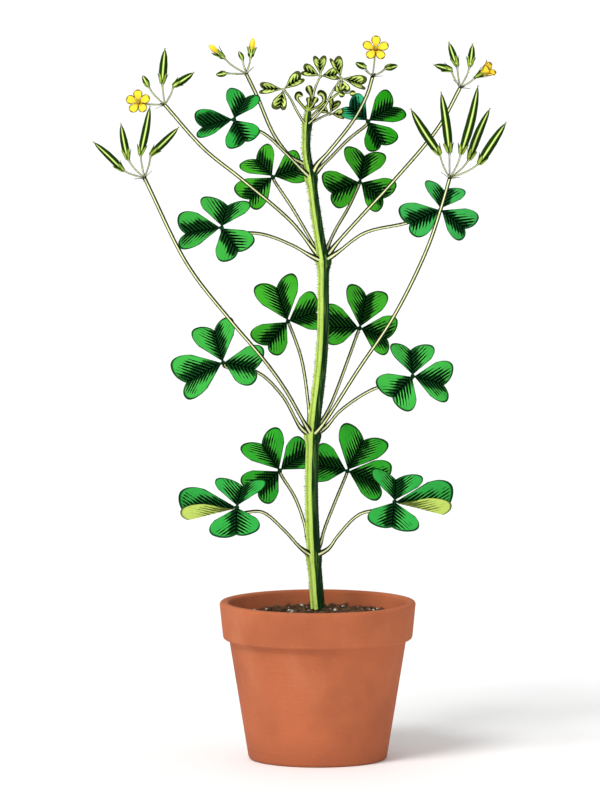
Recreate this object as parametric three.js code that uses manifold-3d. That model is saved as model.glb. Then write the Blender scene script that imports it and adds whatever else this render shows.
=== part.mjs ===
// A yellow wood sorrel in a plain terracotta pot, in millimetres, +Z up.
// The origin is the middle of the pot's foot, on the surface the pot stands on.
// The plant faces -Y, with its sprays spread to the left (-X) and to the right (+X).
import * as THREE from "three";
import { mergeVertices } from "three/addons/utils/BufferGeometryUtils.js";
import Module from "manifold-3d";

const wasm = await Module();
wasm.setup();

// Pot and soil
const POT_HEIGHT = 58;
const POT_TOP_RADIUS = 37;
const POT_FOOT_RADIUS = 25.5;
const POT_WALL = 3.6;
const POT_FLOOR = 5;
const RIM_BAND_HEIGHT = 14;
const RIM_BAND_STEP = 2.4;
const DRAIN_HOLES = 3;
const DRAIN_HOLE_RADIUS = 3;
const DRAIN_RING_RADIUS = 14;
const POT_CORNER = 3;
const EDGE = 1.2;
const TURNED_SIDES = 32;
const SOIL_EDGE_HEIGHT = 52.5;
const SOIL_HEIGHT = 55;
const ROOM = 0.3;

// Stem: the joints that the leaves and sprays leave from, from the soil up
const STEM_HOLE_DEPTH = 25;
const JOINTS = {
  a: { at: [-1.5, 0, 19.5], swelling: 3.1 },
  b: { at: [-2, 0, 64], swelling: 3.3 },
  c: { at: [2, 0, 128], swelling: 3.0 },
  d: { at: [-2.5, 0, 158.5], swelling: 2.5 },
  e: { at: [-4, 0, 178], swelling: 2.0 },
};
const STEM_TIP = [-3.5, 0, 184];
const STEM_LENGTHS = [
  { radius: 2.6, bow: [0, 0.4, 0], steps: 3 },
  { radius: 2.45, bow: [-0.6, -0.6, 0], steps: 3 },
  { radius: 2.15, bow: [1.5, 0.8, 0], steps: 3 },
  { radius: 1.85, bow: [-0.2, -0.6, 0], steps: 3 },
  { radius: 1.6, bow: [-1, 0.4, 0], steps: 1 },
  { radius: 1.2, bow: [0, 0, 0], steps: 1 },
];
const STEM_TIP_RADIUS = 1.3;
const JOINT_FLATTENING = 0.85;
const STEM_SIDES = 8;
const STALK_ROOT_LENGTH = 6;
const STALK_ROOT_RADIUS = 0.75;
const STALK_ROOM = 0.45;

// Leaves and stalks
const BLADE = 0.6;
const LEAFLET_SPREAD = 40;
const LEAFLET_DROOP = 0.11;
const GROWN = { fold: 16, hubRadius: 1.0, shares: [0, 0.27, 0.55, 0.8, 1] };
const YOUNG = { fold: 34, hubRadius: 0.8, shares: [0, 0.4, 0.75, 1] };
const YOUNG_STALK_RADIUS = 0.4;
const INNER_RING = 0.55;
const FOLDED_SHARES = [0, 0.08, 0.16, 0.4, 0.6, 0.8, 1];
const FOLDED_TURN = 100;
const FOLDED_BEND = 1.2;
const FOLDED_TWIST = 20;
const LEAFLET_START = 0.5;
const HUB_SINK = 0.4;
const STALK_BEND = 3.6;
const PETIOLE_RADIUS = 0.5;
const PEDUNCLE_RADIUS = 0.55;
const PEDICEL_RADIUS = 0.35;

// Sprays: fork, bracts, pods and flowers
const FORK_RADIUS = 0.85;
const BRACTS = { count: 3, length: 3, radius: 0.5, lean: 62, start: 0.4 };
const POD_RIDGES = 5;
const POD_CUP_LENGTH = 3.4;
const SEPALS = { count: 5, length: 3.4, radius: 0.5, start: 0.63 };
const SEPAL_LEAN = 32;
const SEPAL_LEAN_LIMIT = 104;
const SEAT = { radius: 0.75, back: 1.3 };
const THROAT = { top: 1.0, foot: 0.55, length: 1.4 };
const PETALS = 5;
const PETAL_START = { up: 0.5, out: 0.45 };
const PETAL = { width: 3.9, outline: petalReach, shares: [0, 0.6, 1], spread: 34, fold: 4, droop: 0.3 };
const BUD_TIP_WIDEN = 1.1;

// Curled sprouts at the growing tip
const SPROUT_RADIUS = 0.45;
const SPROUT_TIP_RADIUS = 0.9;

// Colours
const GREEN = 0x4fb356;
const DEEP_GREEN = 0x3f9f45;
const YOUNG_GREEN = 0xb5cf58;
const STALK_GREEN = 0xc3d884;
const STEM_GREEN = 0xa9cf5a;
const POD_GREEN = 0x7dae4c;
const YELLOW = 0xffd72e;
const TERRACOTTA = 0xb8663f;
const SOIL_BROWN = 0x3d2b20;

// Grown leaves. A leaf's hub stands at `hub` above the soil. Its face is turned `turn` degrees from -Y
// towards +X and tilted `tilt` degrees up. Each leaflet has its angle in the leaf's plane, from level
// right anticlockwise, its reach from the hub and its width. A last number stands that half up over the face.
// `stalk` holds the points between the joint and the hub.
const LEAVES = [
  {
    name: "leaf_1_left_outer", joint: "a", hub: [-29.5, -18, 40], turn: -14, tilt: 44,
    leaflets: [[89, 12, 20], [-162, 21, 22, 1], [-82, 14.5, 19.5]],
    stalk: [[-6.5, -5, 23.5], [-12.5, -9, 30.5], [-20.5, -13, 37.5]],
  },
  {
    name: "leaf_1_left_inner", joint: "a", hub: [-14, 20, 49], turn: -10, tilt: 34,
    leaflets: [[125, 17, 17.5], [40, 14.5, 15], [-129, 14, 17]],
    stalk: [[-4, 4, 26.5], [-5, 9, 31], [-8.5, 17.5, 39.5]],
  },
  {
    name: "leaf_1_right_inner", joint: "a", hub: [11, 23, 48.5], turn: 10, tilt: 34,
    leaflets: [[60, 18.5, 20], [165, 13, 17.5], [-26, 15.5, 18.5]],
    stalk: [[1, 4, 24], [2.5, 10, 28.5], [6, 18.5, 36.5]],
  },
  {
    name: "leaf_1_right_outer", joint: "a", hub: [28, -18, 42], turn: 14, tilt: 44,
    leaflets: [[77, 13, 20], [-18, 21, 23, -1], [-105, 14, 20]],
    stalk: [[4, -4, 23], [7.5, -6, 28], [15.5, -11, 36.5]],
  },
  {
    name: "leaf_2_left_outer", joint: "b", hub: [-34.5, -20, 93], turn: -16, tilt: 32,
    leaflets: [[113, 17.5, 17], [-148, 18.5, 20], [-9, 15, 17.5]],
    stalk: [[-6, -2.5, 67], [-13, -7, 79.5], [-22.5, -14, 89]],
  },
  {
    name: "leaf_2_left_inner", joint: "b", hub: [-11, 22, 104], turn: -12, tilt: 30,
    leaflets: [[113, 18.5, 17.5], [21, 13, 17], [-125, 14, 16]],
    stalk: [[-3, 4, 68.5], [-3.5, 9, 75], [-6, 18, 90.5]],
  },
  {
    name: "leaf_2_right_inner", joint: "b", hub: [15.5, 22, 101.5], turn: 12, tilt: 30,
    leaflets: [[73, 17, 16.5], [176, 13.5, 17.5], [-24, 13, 17.5]],
    stalk: [[1.5, 4, 69], [5, 9, 75], [11.5, 19.5, 91]],
  },
  {
    name: "leaf_2_right_outer", joint: "b", hub: [34.5, -20, 88], turn: 16, tilt: 28,
    leaflets: [[86, 12.5, 17.5], [-17, 14.5, 17.5], [-138, 14, 18]],
    stalk: [[3, -2.5, 67.5], [8, -5, 73.5], [20.5, -12, 82.5]],
  },
  {
    name: "leaf_3_left_outer", joint: "c", hub: [-35, -18, 142], turn: -14, tilt: 30,
    leaflets: [[84, 11, 20], [-170, 16.5, 16], [-52, 14, 16]],
    stalk: [[-2, -3, 130], [-9.5, -6, 134.5], [-20.5, -11, 139]],
  },
  {
    name: "leaf_3_left_inner", joint: "c", hub: [-16.5, 25, 157], turn: -12, tilt: 32,
    leaflets: [[134, 12.5, 15], [22, 12, 15], [-131, 14.5, 15]],
    stalk: [[-0.5, 4.5, 132], [-4, 12, 137.5], [-9.5, 21.5, 146]],
  },
  {
    name: "leaf_3_right_inner", joint: "c", hub: [15.5, 20, 155.5], turn: 8, tilt: 26,
    leaflets: [[77, 13, 16.5], [-160, 13.5, 16], [-38, 12.5, 15.5]],
    stalk: [[3.5, 4.5, 132.5], [6.5, 12, 138.5], [11.5, 19.5, 146.5]],
  },
  {
    name: "leaf_3_right_outer", joint: "c", hub: [44.5, -18, 148.5], turn: 16, tilt: 32,
    leaflets: [[72, 10.2, 16], [-157, 16, 15], [-44, 13.5, 15]],
    stalk: [[7, -3.5, 131.5], [17, -7, 139], [31.5, -13, 143]],
  },
  {
    name: "leaf_4_left", joint: "d", hub: [-30.5, -20, 181.5], turn: -16, tilt: 32,
    leaflets: [[73, 11.5, 14], [-166, 14.5, 12.5], [-58, 12, 14]],
    stalk: [[-5.5, -3, 161.5], [-12, -8, 168.5], [-20, -13, 176]],
  },
  {
    name: "leaf_4_right", joint: "d", hub: [18.5, 18, 178], turn: 12, tilt: 28, deep: true,
    leaflets: [[31, 14, 14], [-66, 12, 14], [136, 10.5, 12.5]],
    stalk: [[0, 4, 161], [5, 11, 165.5], [11.5, 18, 171.5]],
  },
];

// Young leaves, written as the grown ones, with the stalk's first point inside the stem
const YOUNG_LEAVES = [
  {
    name: "young_leaf_left", hub: [-12.5, -8, 191.5], turn: -18, tilt: 20,
    leaflets: [[36, 8.5, 6.5], [180, 9, 5.5], [-94, 8, 7]],
    stalk: [[-5.6, -2.6, 179.8], [-8, -4.5, 184], [-10, -6, 188]],
  },
  {
    name: "young_leaf_middle", hub: [1, -3, 196], turn: 4, tilt: 24,
    leaflets: [[92, 7.5, 6], [160, 7, 6], [4, 6.5, 6]],
    stalk: [[-1.6, -0.6, 185.2], [-1.8, -1, 188], [-0.8, -2, 192]],
  },
  {
    name: "young_leaf_right", hub: [8.5, -7, 195.5], turn: 20, tilt: 22,
    leaflets: [[104, 8, 6], [-18, 9.5, 6.5], [-88, 5.5, 5.5]],
    stalk: [[-2.5, -2.1, 179.4], [2.5, -4.5, 185], [5, -5.5, 190]],
  },
  {
    name: "young_leaf_low", hub: [4.5, 7, 181.5], turn: 24, tilt: 24,
    leaflets: [[62, 6, 5.5], [-8, 5, 5], [150, 5, 5]],
    stalk: [[-2.2, 2.2, 178.6], [-0.2, 4.2, 179.6], [2, 6.2, 180.6]],
  },
];

// Curled sprouts: each is a short stalk with a drooping point
const SPROUTS = [
  [[-4, 0, 181], [-6, -2, 186], [-7, -3, 189.5], [-8.4, -3.4, 188]],
  [[-3.6, 0, 182], [-3.8, 1, 187], [-3.6, 2, 191.2], [-4.8, 2.4, 190.4]],
  [[-3.4, 0, 181], [1, 3, 184.5], [2.2, 4.4, 188.2], [0.8, 4.6, 190]],
];

// Flower sprays. `root` is the spray's fork above the soil, `stalk` the points between joint and fork.
// A pod has its foot, its tip and its greatest radius. A bud with `petals` shows a yellow tip.
// A flower has its place, the way it faces and how far its petals are open, in degrees.
const SPRAYS = [
  {
    name: "spray_2_left", joint: "b", root: [-62.5, -38, 161.5],
    stalk: [[-5, -5.5, 69.5], [-12.5, -19, 84], [-20.5, -29, 96], [-31.5, -34, 109.5], [-47, -37, 130]],
    pods: [
      { foot: [-70, -42, 164.5], tip: [-80.5, -46, 175], radius: 1.2 },
      { foot: [-68.5, -36, 168], tip: [-71, -34, 180.5], radius: 1.25 },
      { foot: [-64, -40, 170], tip: [-60.5, -43, 187.5], radius: 1.3 },
      { foot: [-60.5, -34, 169.5], tip: [-50.5, -30, 179], radius: 1.25 },
    ],
  },
  {
    name: "spray_2_right", joint: "b", root: [47.5, -33, 161],
    stalk: [[2, -5.5, 69], [14.5, -15, 89.5], [28, -24, 111], [39.5, -31, 135.5], [44.5, -33, 150.5]],
    pods: [
      { foot: [44, -37, 170], tip: [33.5, -42, 186.5], radius: 1.5 },
      { foot: [47.5, -31, 170], tip: [44.5, -28, 191.5], radius: 1.5 },
      { foot: [51.5, -35, 170], tip: [57.5, -38, 194.5], radius: 1.5 },
      { foot: [54.5, -30, 167.5], tip: [62, -26, 185.5], radius: 1.4 },
      { foot: [58, -36, 166.5], tip: [67.5, -40, 181.5], radius: 1.5 },
    ],
  },
  {
    name: "spray_3_left", joint: "c", root: [-56, 17, 184],
    stalk: [[-2.5, 1.5, 133.5], [-9.5, 4, 142], [-27.5, 10, 157], [-41.5, 14, 168]],
    pods: [
      { foot: [-57, 20, 191.5], tip: [-56, 22, 204], radius: 1.4 },
      { foot: [-53, 15, 191], tip: [-45.5, 13, 196], radius: 1.3 },
      { foot: [-62, 20, 190.5], tip: [-64.2, 21, 194.5], radius: 1.1 },
    ],
    flower: { at: [-65.5, 14, 185], facing: [-0.15, -0.94, 0.3], open: 76, petal: 4.4 },
  },
  {
    name: "spray_3_right", joint: "c", root: [52, 8, 191],
    stalk: [[6.5, 1, 134], [15.5, 2, 144], [28, 4, 157.5], [44, 7, 176.5]],
    pods: [
      { foot: [49, 6, 197.5], tip: [42.5, 4, 199.5], radius: 1.2 },
      { foot: [51, 10, 198.5], tip: [48, 12, 207], radius: 1.2 },
      { foot: [55.5, 9, 198.5], tip: [56.5, 10, 206.5], radius: 1.2 },
    ],
    flower: { at: [58.5, 5, 195.6], facing: [0.8, -0.25, 0.5], open: 38, petal: 6.2 },
  },
  {
    name: "spray_4_left", joint: "d", root: [-26, -7, 197],
    stalk: [[-4.5, 1.5, 163], [-10, -0.5, 166.5], [-16, -2, 174.5], [-22, -5, 188.5]],
    pods: [
      { foot: [-34, -9, 203], tip: [-37, -10.4, 205.6], radius: 1.1, petals: 3.4 },
      { foot: [-27.2, -4.5, 202], tip: [-28.8, -4, 205], radius: 0.9 },
      { foot: [-24.4, -7, 203], tip: [-24, -7, 206.4], radius: 1.2, petals: 3.6 },
      { foot: [-33.3, -11, 197.6], tip: [-37, -12.2, 197], radius: 1.1 },
    ],
  },
  {
    name: "spray_4_right", joint: "d", root: [20, 8, 195],
    stalk: [[-0.5, 0, 163], [4, 2, 168], [13.5, 5, 180], [18, 7, 188.5]],
    pods: [
      { foot: [17.5, 6, 198.5], tip: [13.8, 4.6, 200.3], radius: 1.2 },
      { foot: [24.6, 10, 198], tip: [29.2, 12, 198.8], radius: 1.2 },
    ],
    flower: { at: [21, 6, 205], facing: [0.05, -0.9, 0.42], open: 78, petal: 4.7 },
  },
];

const vector = (point) => new THREE.Vector3(...point);
const degrees = THREE.MathUtils.degToRad;

// A closed geometry as a solid, with its doubled points joined and its empty triangles dropped
function solidOf(geometry) {
  const bare = new THREE.BufferGeometry();
  bare.setAttribute("position", geometry.getAttribute("position"));
  if (geometry.index) bare.setIndex(geometry.index);
  const merged = mergeVertices(bare, 1e-4);
  const index = merged.index.array;
  const triVerts = [];
  for (let i = 0; i < index.length; i += 3) {
    const [p, q, r] = [index[i], index[i + 1], index[i + 2]];
    if (p !== q && q !== r && r !== p) triVerts.push(p, q, r);
  }
  const mesh = new wasm.Mesh({
    numProp: 3,
    vertProperties: new Float32Array(merged.getAttribute("position").array),
    triVerts: new Uint32Array(triVerts),
  });
  return new wasm.Manifold(mesh);
}

function geometryOf(solid) {
  const mesh = solid.getMesh();
  const geometry = new THREE.BufferGeometry();
  geometry.setAttribute("position", new THREE.BufferAttribute(mesh.vertProperties, 3));
  geometry.setIndex(new THREE.BufferAttribute(mesh.triVerts, 1));
  return geometry;
}

// Joins closed geometries that reach into each other into one
function joined(geometries) {
  let whole = solidOf(geometries[0]);
  for (const geometry of geometries.slice(1)) whole = whole.add(solidOf(geometry));
  return geometryOf(whole);
}

// A round bar along a curve, with flat ends
function bar(curve, radius, sides, steps) {
  const section = new THREE.Shape();
  for (let i = 0; i < sides; i += 1) {
    const angle = (2 * Math.PI * i) / sides;
    const [x, y] = [radius * Math.cos(angle), radius * Math.sin(angle)];
    if (i === 0) section.moveTo(x, y);
    else section.lineTo(x, y);
  }
  section.closePath();
  return new THREE.ExtrudeGeometry(section, { extrudePath: curve, steps, bevelEnabled: false });
}

// The part of a curve between two distances from its start
function stretch(curve, from, to, count) {
  const length = curve.getLength();
  const points = [];
  for (let i = 0; i <= count; i += 1) {
    points.push(curve.getPointAt(Math.min(1, (from + ((to - from) * i) / count) / length)));
  }
  return new THREE.CatmullRomCurve3(points);
}

function ball(centre, radius, sides = 6, rings = 4) {
  const geometry = new THREE.SphereGeometry(radius, sides, rings);
  return geometry.translate(...centre);
}

// Places a shape made along +Y so that it stands on `foot` and points to `tip`
function stood(geometry, foot, tip) {
  const way = tip.clone().sub(foot).normalize();
  geometry.applyQuaternion(new THREE.Quaternion().setFromUnitVectors(new THREE.Vector3(0, 1, 0), way));
  return geometry.translate(foot.x, foot.y, foot.z);
}

// A leaf's own axes: right, up and out of its face
function leafAxes(turn, tilt) {
  const [t, l] = [degrees(turn), degrees(tilt)];
  const face = new THREE.Vector3(Math.sin(t) * Math.cos(l), -Math.cos(t) * Math.cos(l), Math.sin(l));
  const right = new THREE.Vector3(0, 0, 1).cross(face).normalize();
  const up = face.clone().cross(right);
  return { right, up, face };
}

// How far a heart-shaped leaflet reaches at a share of its spread: a notch in the middle, a round lobe
// beside it and a straight flank
function heartReach(share) {
  const lobe = 0.55;
  if (share < lobe) return 1 - 0.2 * (1 - share / lobe) ** 2;
  return 1 - 0.4 * ((share - lobe) / (1 - lobe)) ** 2.2;
}

// A petal's outline: round at its end and narrow at its foot
function petalReach(share) {
  return 1 - 0.42 * share ** 2.4;
}

// A thin blade spread like a fan from its foot, along +X with its face to +Z, folded along its middle.
// `folded` stands one half up over the face: 1 for the left half, -1 for the right. Both faces have the same
// triangles, and the edge between them follows the rays' ends.
function fanBlade({ reach, width, outline, shares, spread, fold, droop, folded = 0 }) {
  const rings = 2;
  const rays = [...shares.slice(1).reverse().map((share) => -share), ...shares];
  const widest = Math.max(...shares.map((share) => outline(share) * Math.sin(degrees(spread) * share)));
  const widen = width / (2 * widest * reach);
  const positions = [];
  const index = [];
  const place = (share, ring, side) => {
    const angle = degrees(spread) * share;
    const length = reach * outline(Math.abs(share)) * [0, INNER_RING, 1][ring];
    const along = length * Math.cos(angle);
    const across = Math.abs(length * Math.sin(angle)) * widen;
    const hand = Math.sign(share);
    const lift = -droop * (along / reach) ** 2;
    const slope = degrees(fold);
    if (folded !== 0 && hand === folded) {
      const turn = degrees(FOLDED_TURN);
      const turned = turn * Math.min(1, across / FOLDED_BEND);
      const beyond = Math.max(0, across - FOLDED_BEND);
      const out = (FOLDED_BEND / turn) * Math.sin(turned) + beyond * Math.cos(turn);
      const rise = (FOLDED_BEND / turn) * (1 - Math.cos(turned)) + beyond * Math.sin(turn);
      const half = (side * BLADE) / 2;
      return [along, hand * (out - half * Math.sin(turned)), rise + lift + half * Math.cos(turned)];
    }
    return [along, hand * across * Math.cos(slope), across * Math.sin(slope) + lift + (side * BLADE) / 2];
  };
  const row = rays.length;
  for (const side of [1, -1]) {
    positions.push(...place(0, 0, side));
    for (let ring = 1; ring <= rings; ring += 1) {
      for (const share of rays) positions.push(...place(share, ring, side));
    }
  }
  const count = 1 + rings * row;
  const at = (side, ring, ray) => (side > 0 ? 0 : count) + (ring === 0 ? 0 : 1 + (ring - 1) * row + ray);
  const tri = (side, p, q, r) => (side > 0 ? index.push(p, q, r) : index.push(p, r, q));
  for (const side of [1, -1]) {
    for (let ray = 0; ray < row - 1; ray += 1) {
      tri(side, at(side, 0, 0), at(side, 1, ray), at(side, 1, ray + 1));
      for (let ring = 1; ring < rings; ring += 1) {
        const [p, q] = [at(side, ring, ray), at(side, ring + 1, ray)];
        const [r, s] = [at(side, ring + 1, ray + 1), at(side, ring, ray + 1)];
        const left = ray < (row - 1) / 2;
        if (left) {
          tri(side, p, q, s);
          tri(side, q, r, s);
        } else {
          tri(side, p, q, r);
          tri(side, p, r, s);
        }
      }
    }
  }
  const edge = [at(1, 0, 0)];
  for (let ring = 1; ring < rings; ring += 1) edge.push(at(1, ring, 0));
  for (let ray = 0; ray < row; ray += 1) edge.push(at(1, rings, ray));
  for (let ring = rings - 1; ring > 0; ring -= 1) edge.push(at(1, ring, row - 1));
  for (let i = 0; i < edge.length; i += 1) {
    const [p, q] = [edge[i], edge[(i + 1) % edge.length]];
    index.push(p, p + count, q, q, p + count, q + count);
  }
  const geometry = new THREE.BufferGeometry();
  geometry.setAttribute("position", new THREE.BufferAttribute(new Float32Array(positions), 3));
  geometry.setIndex(index);
  return geometry;
}

// Turns a blade made along +X with its face to +Z to its way and face, and moves its foot
function laid(geometry, foot, way, face) {
  const side = face.clone().cross(way);
  const axes = new THREE.Matrix4().makeBasis(way, side, face);
  return geometry.applyMatrix4(axes.setPosition(foot));
}

// The three leaflets and the hub of a leaf. The hub's ball stands a little behind the blade.
function leafBlade({ hub, turn, tilt, leaflets }, { fold, hubRadius, shares }) {
  const { right, up, face } = leafAxes(turn, tilt);
  const centre = vector(hub);
  const pieces = [ball(centre.clone().addScaledVector(face, -HUB_SINK).toArray(), hubRadius)];
  for (const [angle, reach, width, folded = 0] of leaflets) {
    const blade = fanBlade({
      reach,
      width,
      outline: heartReach,
      shares: folded === 0 ? shares : FOLDED_SHARES,
      spread: LEAFLET_SPREAD,
      fold,
      droop: LEAFLET_DROOP * reach,
      folded,
    });
    const way = right.clone().multiplyScalar(Math.cos(degrees(angle)));
    way.addScaledVector(up, Math.sin(degrees(angle)));
    const turned = face.clone().applyAxisAngle(way, degrees(-FOLDED_TWIST * folded));
    pieces.push(laid(blade, centre.clone().addScaledVector(way, LEAFLET_START), way, turned));
  }
  return pieces;
}

// The whole course of a leaf's stalk, from its joint to the back of the hub
function petioleCourse(leaf) {
  const { face } = leafAxes(leaf.turn, leaf.tilt);
  const hub = vector(leaf.hub);
  const end = hub.clone().addScaledVector(face, -(GROWN.hubRadius + HUB_SINK + STALK_ROOM));
  const bend = hub.clone().addScaledVector(face, -STALK_BEND);
  const start = vector(JOINTS[leaf.joint].at);
  return new THREE.CatmullRomCurve3([start, ...leaf.stalk.map(vector), bend, end]);
}

function peduncleCourse(spray) {
  const start = vector(JOINTS[spray.joint].at);
  return new THREE.CatmullRomCurve3([start, ...spray.stalk.map(vector), vector(spray.root)]);
}

// A stalk from just past its root on the stem to its end
function stalkBar(course, radius, steps) {
  const from = STALK_ROOT_LENGTH + STALK_ROOM;
  return bar(stretch(course, from, course.getLength(), steps), radius, 5, steps);
}

// A ridged pod or bud along +Y. Its foot sits in a cup of five sepals whose points lie between the ridges,
// and it is fullest a third of the way up and drawn out to a point.
function podShape(length, radius) {
  const sepal = Math.min(POD_CUP_LENGTH, length * 0.45) / length;
  const rings = [
    { out: 0, along: 0 },
    { out: 0.7, along: 0.01 },
    { out: 1.22, along: sepal * 0.7, point: sepal * 0.35 },
    { out: 0.95, along: sepal * 0.75, point: sepal * 0.35, ridge: 0.08 },
    { out: 1, along: 0.5, ridge: 0.18 },
    { out: 0.62, along: 0.85, ridge: 0.14 },
    { out: 0, along: 1 },
  ];
  const outline = rings.map(({ out, along }) => new THREE.Vector2(out * radius, along * length));
  const geometry = new THREE.LatheGeometry(outline, POD_RIDGES * 2);
  const position = geometry.getAttribute("position");
  for (let i = 0; i < position.count; i += 1) {
    const ring = rings[i % rings.length];
    const wave = Math.cos(POD_RIDGES * Math.atan2(position.getZ(i), position.getX(i)));
    const grow = 1 + (ring.ridge ?? 0) * wave;
    position.setX(i, position.getX(i) * grow);
    position.setZ(i, position.getZ(i) * grow);
    position.setY(i, position.getY(i) - (ring.point ?? 0) * wave * length);
  }
  return geometry;
}

// Pointed scales round a foot: a spray's bracts or a flower's sepals
function scales(foot, way, { count, length, radius, lean, start }) {
  const pieces = [];
  const axis = way.clone().normalize();
  const side = new THREE.Vector3(0.31, 0.83, 0.47).cross(axis).normalize();
  for (let i = 0; i < count; i += 1) {
    const out = side.clone().applyAxisAngle(axis, (2 * Math.PI * i) / count + start);
    const point = axis.clone().multiplyScalar(Math.cos(degrees(lean)));
    point.addScaledVector(out, Math.sin(degrees(lean)));
    const base = foot.clone().addScaledVector(out, radius * 0.5);
    const cone = new THREE.ConeGeometry(radius, length, 3).translate(0, length / 2, 0);
    pieces.push(stood(cone, base.clone().addScaledVector(point, -radius * 0.4), base.clone().add(point)));
  }
  return pieces;
}

// A thin stalklet from the spray's fork to a foot
function stalklet(from, to) {
  const middle = from.clone().lerp(to, 0.55);
  middle.addScaledVector(new THREE.Vector3(to.x - from.x, to.y - from.y, 0), 0.12);
  return bar(new THREE.CatmullRomCurve3([from, middle, to]), PEDICEL_RADIUS, 4, 2);
}

// The green parts of a spray in one body: stalk, bracts, stalklets, pods, buds and sepals
function sprayGreen(spray) {
  const root = vector(spray.root);
  const course = peduncleCourse(spray);
  const pieces = [stalkBar(course, PEDUNCLE_RADIUS, 7), ball(spray.root, FORK_RADIUS, 5, 3)];
  pieces.push(...scales(root, course.getTangentAt(1), BRACTS));
  for (const pod of spray.pods) {
    const [foot, tip] = [vector(pod.foot), vector(pod.tip)];
    const way = tip.clone().sub(foot).normalize();
    const length = tip.distanceTo(foot);
    pieces.push(stalklet(root, foot.clone().addScaledVector(way, 0.4)));
    pieces.push(stood(podShape(length, pod.radius), foot, tip));
  }
  if (spray.flower) {
    const { at, facing, open } = spray.flower;
    const face = vector(facing).normalize();
    const seat = vector(at).addScaledVector(face, -SEAT.back);
    const lean = Math.min(open + SEPAL_LEAN, SEPAL_LEAN_LIMIT);
    pieces.push(stalklet(root, seat), ball(seat.toArray(), SEAT.radius, 6, 3));
    pieces.push(...scales(seat, face, { ...SEPALS, lean }));
  }
  return joined(pieces);
}

// A flower's yellow body: a short throat and five petals
function corolla({ at, facing, open, petal }) {
  const face = vector(facing).normalize();
  const centre = vector(at);
  const side = face.clone().cross(new THREE.Vector3(1, 0, 0)).normalize();
  const throat = new THREE.CylinderGeometry(THROAT.top, THROAT.foot, THROAT.length, 6).translate(0, 0.3, 0);
  const pieces = [stood(throat, centre, centre.clone().add(face))];
  for (let i = 0; i < PETALS; i += 1) {
    const out = side.clone().applyAxisAngle(face, (2 * Math.PI * i) / PETALS);
    const way = face.clone().multiplyScalar(Math.cos(degrees(open)));
    way.addScaledVector(out, Math.sin(degrees(open)));
    const petalFace = face.clone().multiplyScalar(Math.sin(degrees(open)));
    petalFace.addScaledVector(out, -Math.cos(degrees(open)));
    const foot = centre.clone().addScaledVector(face, PETAL_START.up);
    foot.addScaledVector(out, PETAL_START.out);
    pieces.push(laid(fanBlade({ ...PETAL, reach: petal }), foot, way, petalFace));
  }
  return joined(pieces);
}

// The yellow point that stands out of an opening bud, clear of the bud's tip
function petalTip(pod) {
  const [foot, tip] = [vector(pod.foot), vector(pod.tip)];
  const way = tip.clone().sub(foot).normalize();
  const base = tip.clone().addScaledVector(way, ROOM);
  const profile = [[0, 0], [0.55, 0], [0.95, 0.35], [0.6, 0.8], [0, 1]];
  const points = profile.map(([out, along]) => new THREE.Vector2(out * BUD_TIP_WIDEN, along * pod.petals));
  return stood(new THREE.LatheGeometry(points, 8), base, base.clone().add(way));
}

function stemBody() {
  const joints = Object.values(JOINTS).map(({ at }) => vector(at));
  const foot = new THREE.LineCurve3(vector([0, 0, ROOM - STEM_HOLE_DEPTH]), vector([0, 0, 0.5]));
  const pieces = [bar(foot, STEM_LENGTHS[0].radius, STEM_SIDES, 1)];
  const stops = [vector([0, 0, 0]), ...joints, vector(STEM_TIP)];
  STEM_LENGTHS.forEach(({ radius, bow, steps }, i) => {
    const middle = stops[i].clone().lerp(stops[i + 1], 0.5).add(vector(bow));
    const course = new THREE.CatmullRomCurve3([stops[i], middle, stops[i + 1]]);
    pieces.push(bar(course, radius, STEM_SIDES, steps));
  });
  for (const { at, swelling } of Object.values(JOINTS)) {
    pieces.push(ball([0, 0, 0], swelling, 7, 4).scale(1, 1, JOINT_FLATTENING).translate(...at));
  }
  pieces.push(ball(STEM_TIP, STEM_TIP_RADIUS));
  for (const course of [...LEAVES.map(petioleCourse), ...SPRAYS.map(peduncleCourse)]) {
    pieces.push(bar(stretch(course, 0, STALK_ROOT_LENGTH, 3), STALK_ROOT_RADIUS, 5, 2));
  }
  for (const points of SPROUTS) {
    const course = new THREE.CatmullRomCurve3(points.map(vector));
    pieces.push(bar(course, SPROUT_RADIUS, 4, 4));
    pieces.push(ball(points.at(-1), SPROUT_TIP_RADIUS, 5, 3));
  }
  return joined(pieces);
}

// The pot is turned from half of its section: the outside with its rim band, the inside and the floor
function potBody() {
  const band = POT_TOP_RADIUS - RIM_BAND_STEP;
  const bandFoot = POT_HEIGHT - RIM_BAND_HEIGHT;
  const cornerHeight = POT_FLOOR + POT_CORNER;
  const outline = [
    [0, 0],
    [POT_FOOT_RADIUS - EDGE, 0],
    [POT_FOOT_RADIUS, EDGE],
    [band - 1.6, bandFoot],
    [band + 0.6, bandFoot + EDGE / 2],
    [POT_TOP_RADIUS - EDGE / 2, POT_HEIGHT - EDGE],
    [POT_TOP_RADIUS - EDGE, POT_HEIGHT],
    [potInside(POT_HEIGHT), POT_HEIGHT],
    [potInside(cornerHeight), cornerHeight],
    [potInside(POT_FLOOR) - POT_CORNER, POT_FLOOR],
    [0, POT_FLOOR],
  ];
  let pot = solidOf(turned(outline));
  for (let i = 0; i < DRAIN_HOLES; i += 1) {
    const angle = (2 * Math.PI * (i + 0.25)) / DRAIN_HOLES;
    const hole = new THREE.CylinderGeometry(DRAIN_HOLE_RADIUS, DRAIN_HOLE_RADIUS, POT_FLOOR * 3, 12);
    hole.rotateX(Math.PI / 2);
    hole.translate(DRAIN_RING_RADIUS * Math.cos(angle), DRAIN_RING_RADIUS * Math.sin(angle), 0);
    pot = pot.subtract(solidOf(hole));
  }
  return geometryOf(pot);
}

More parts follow.
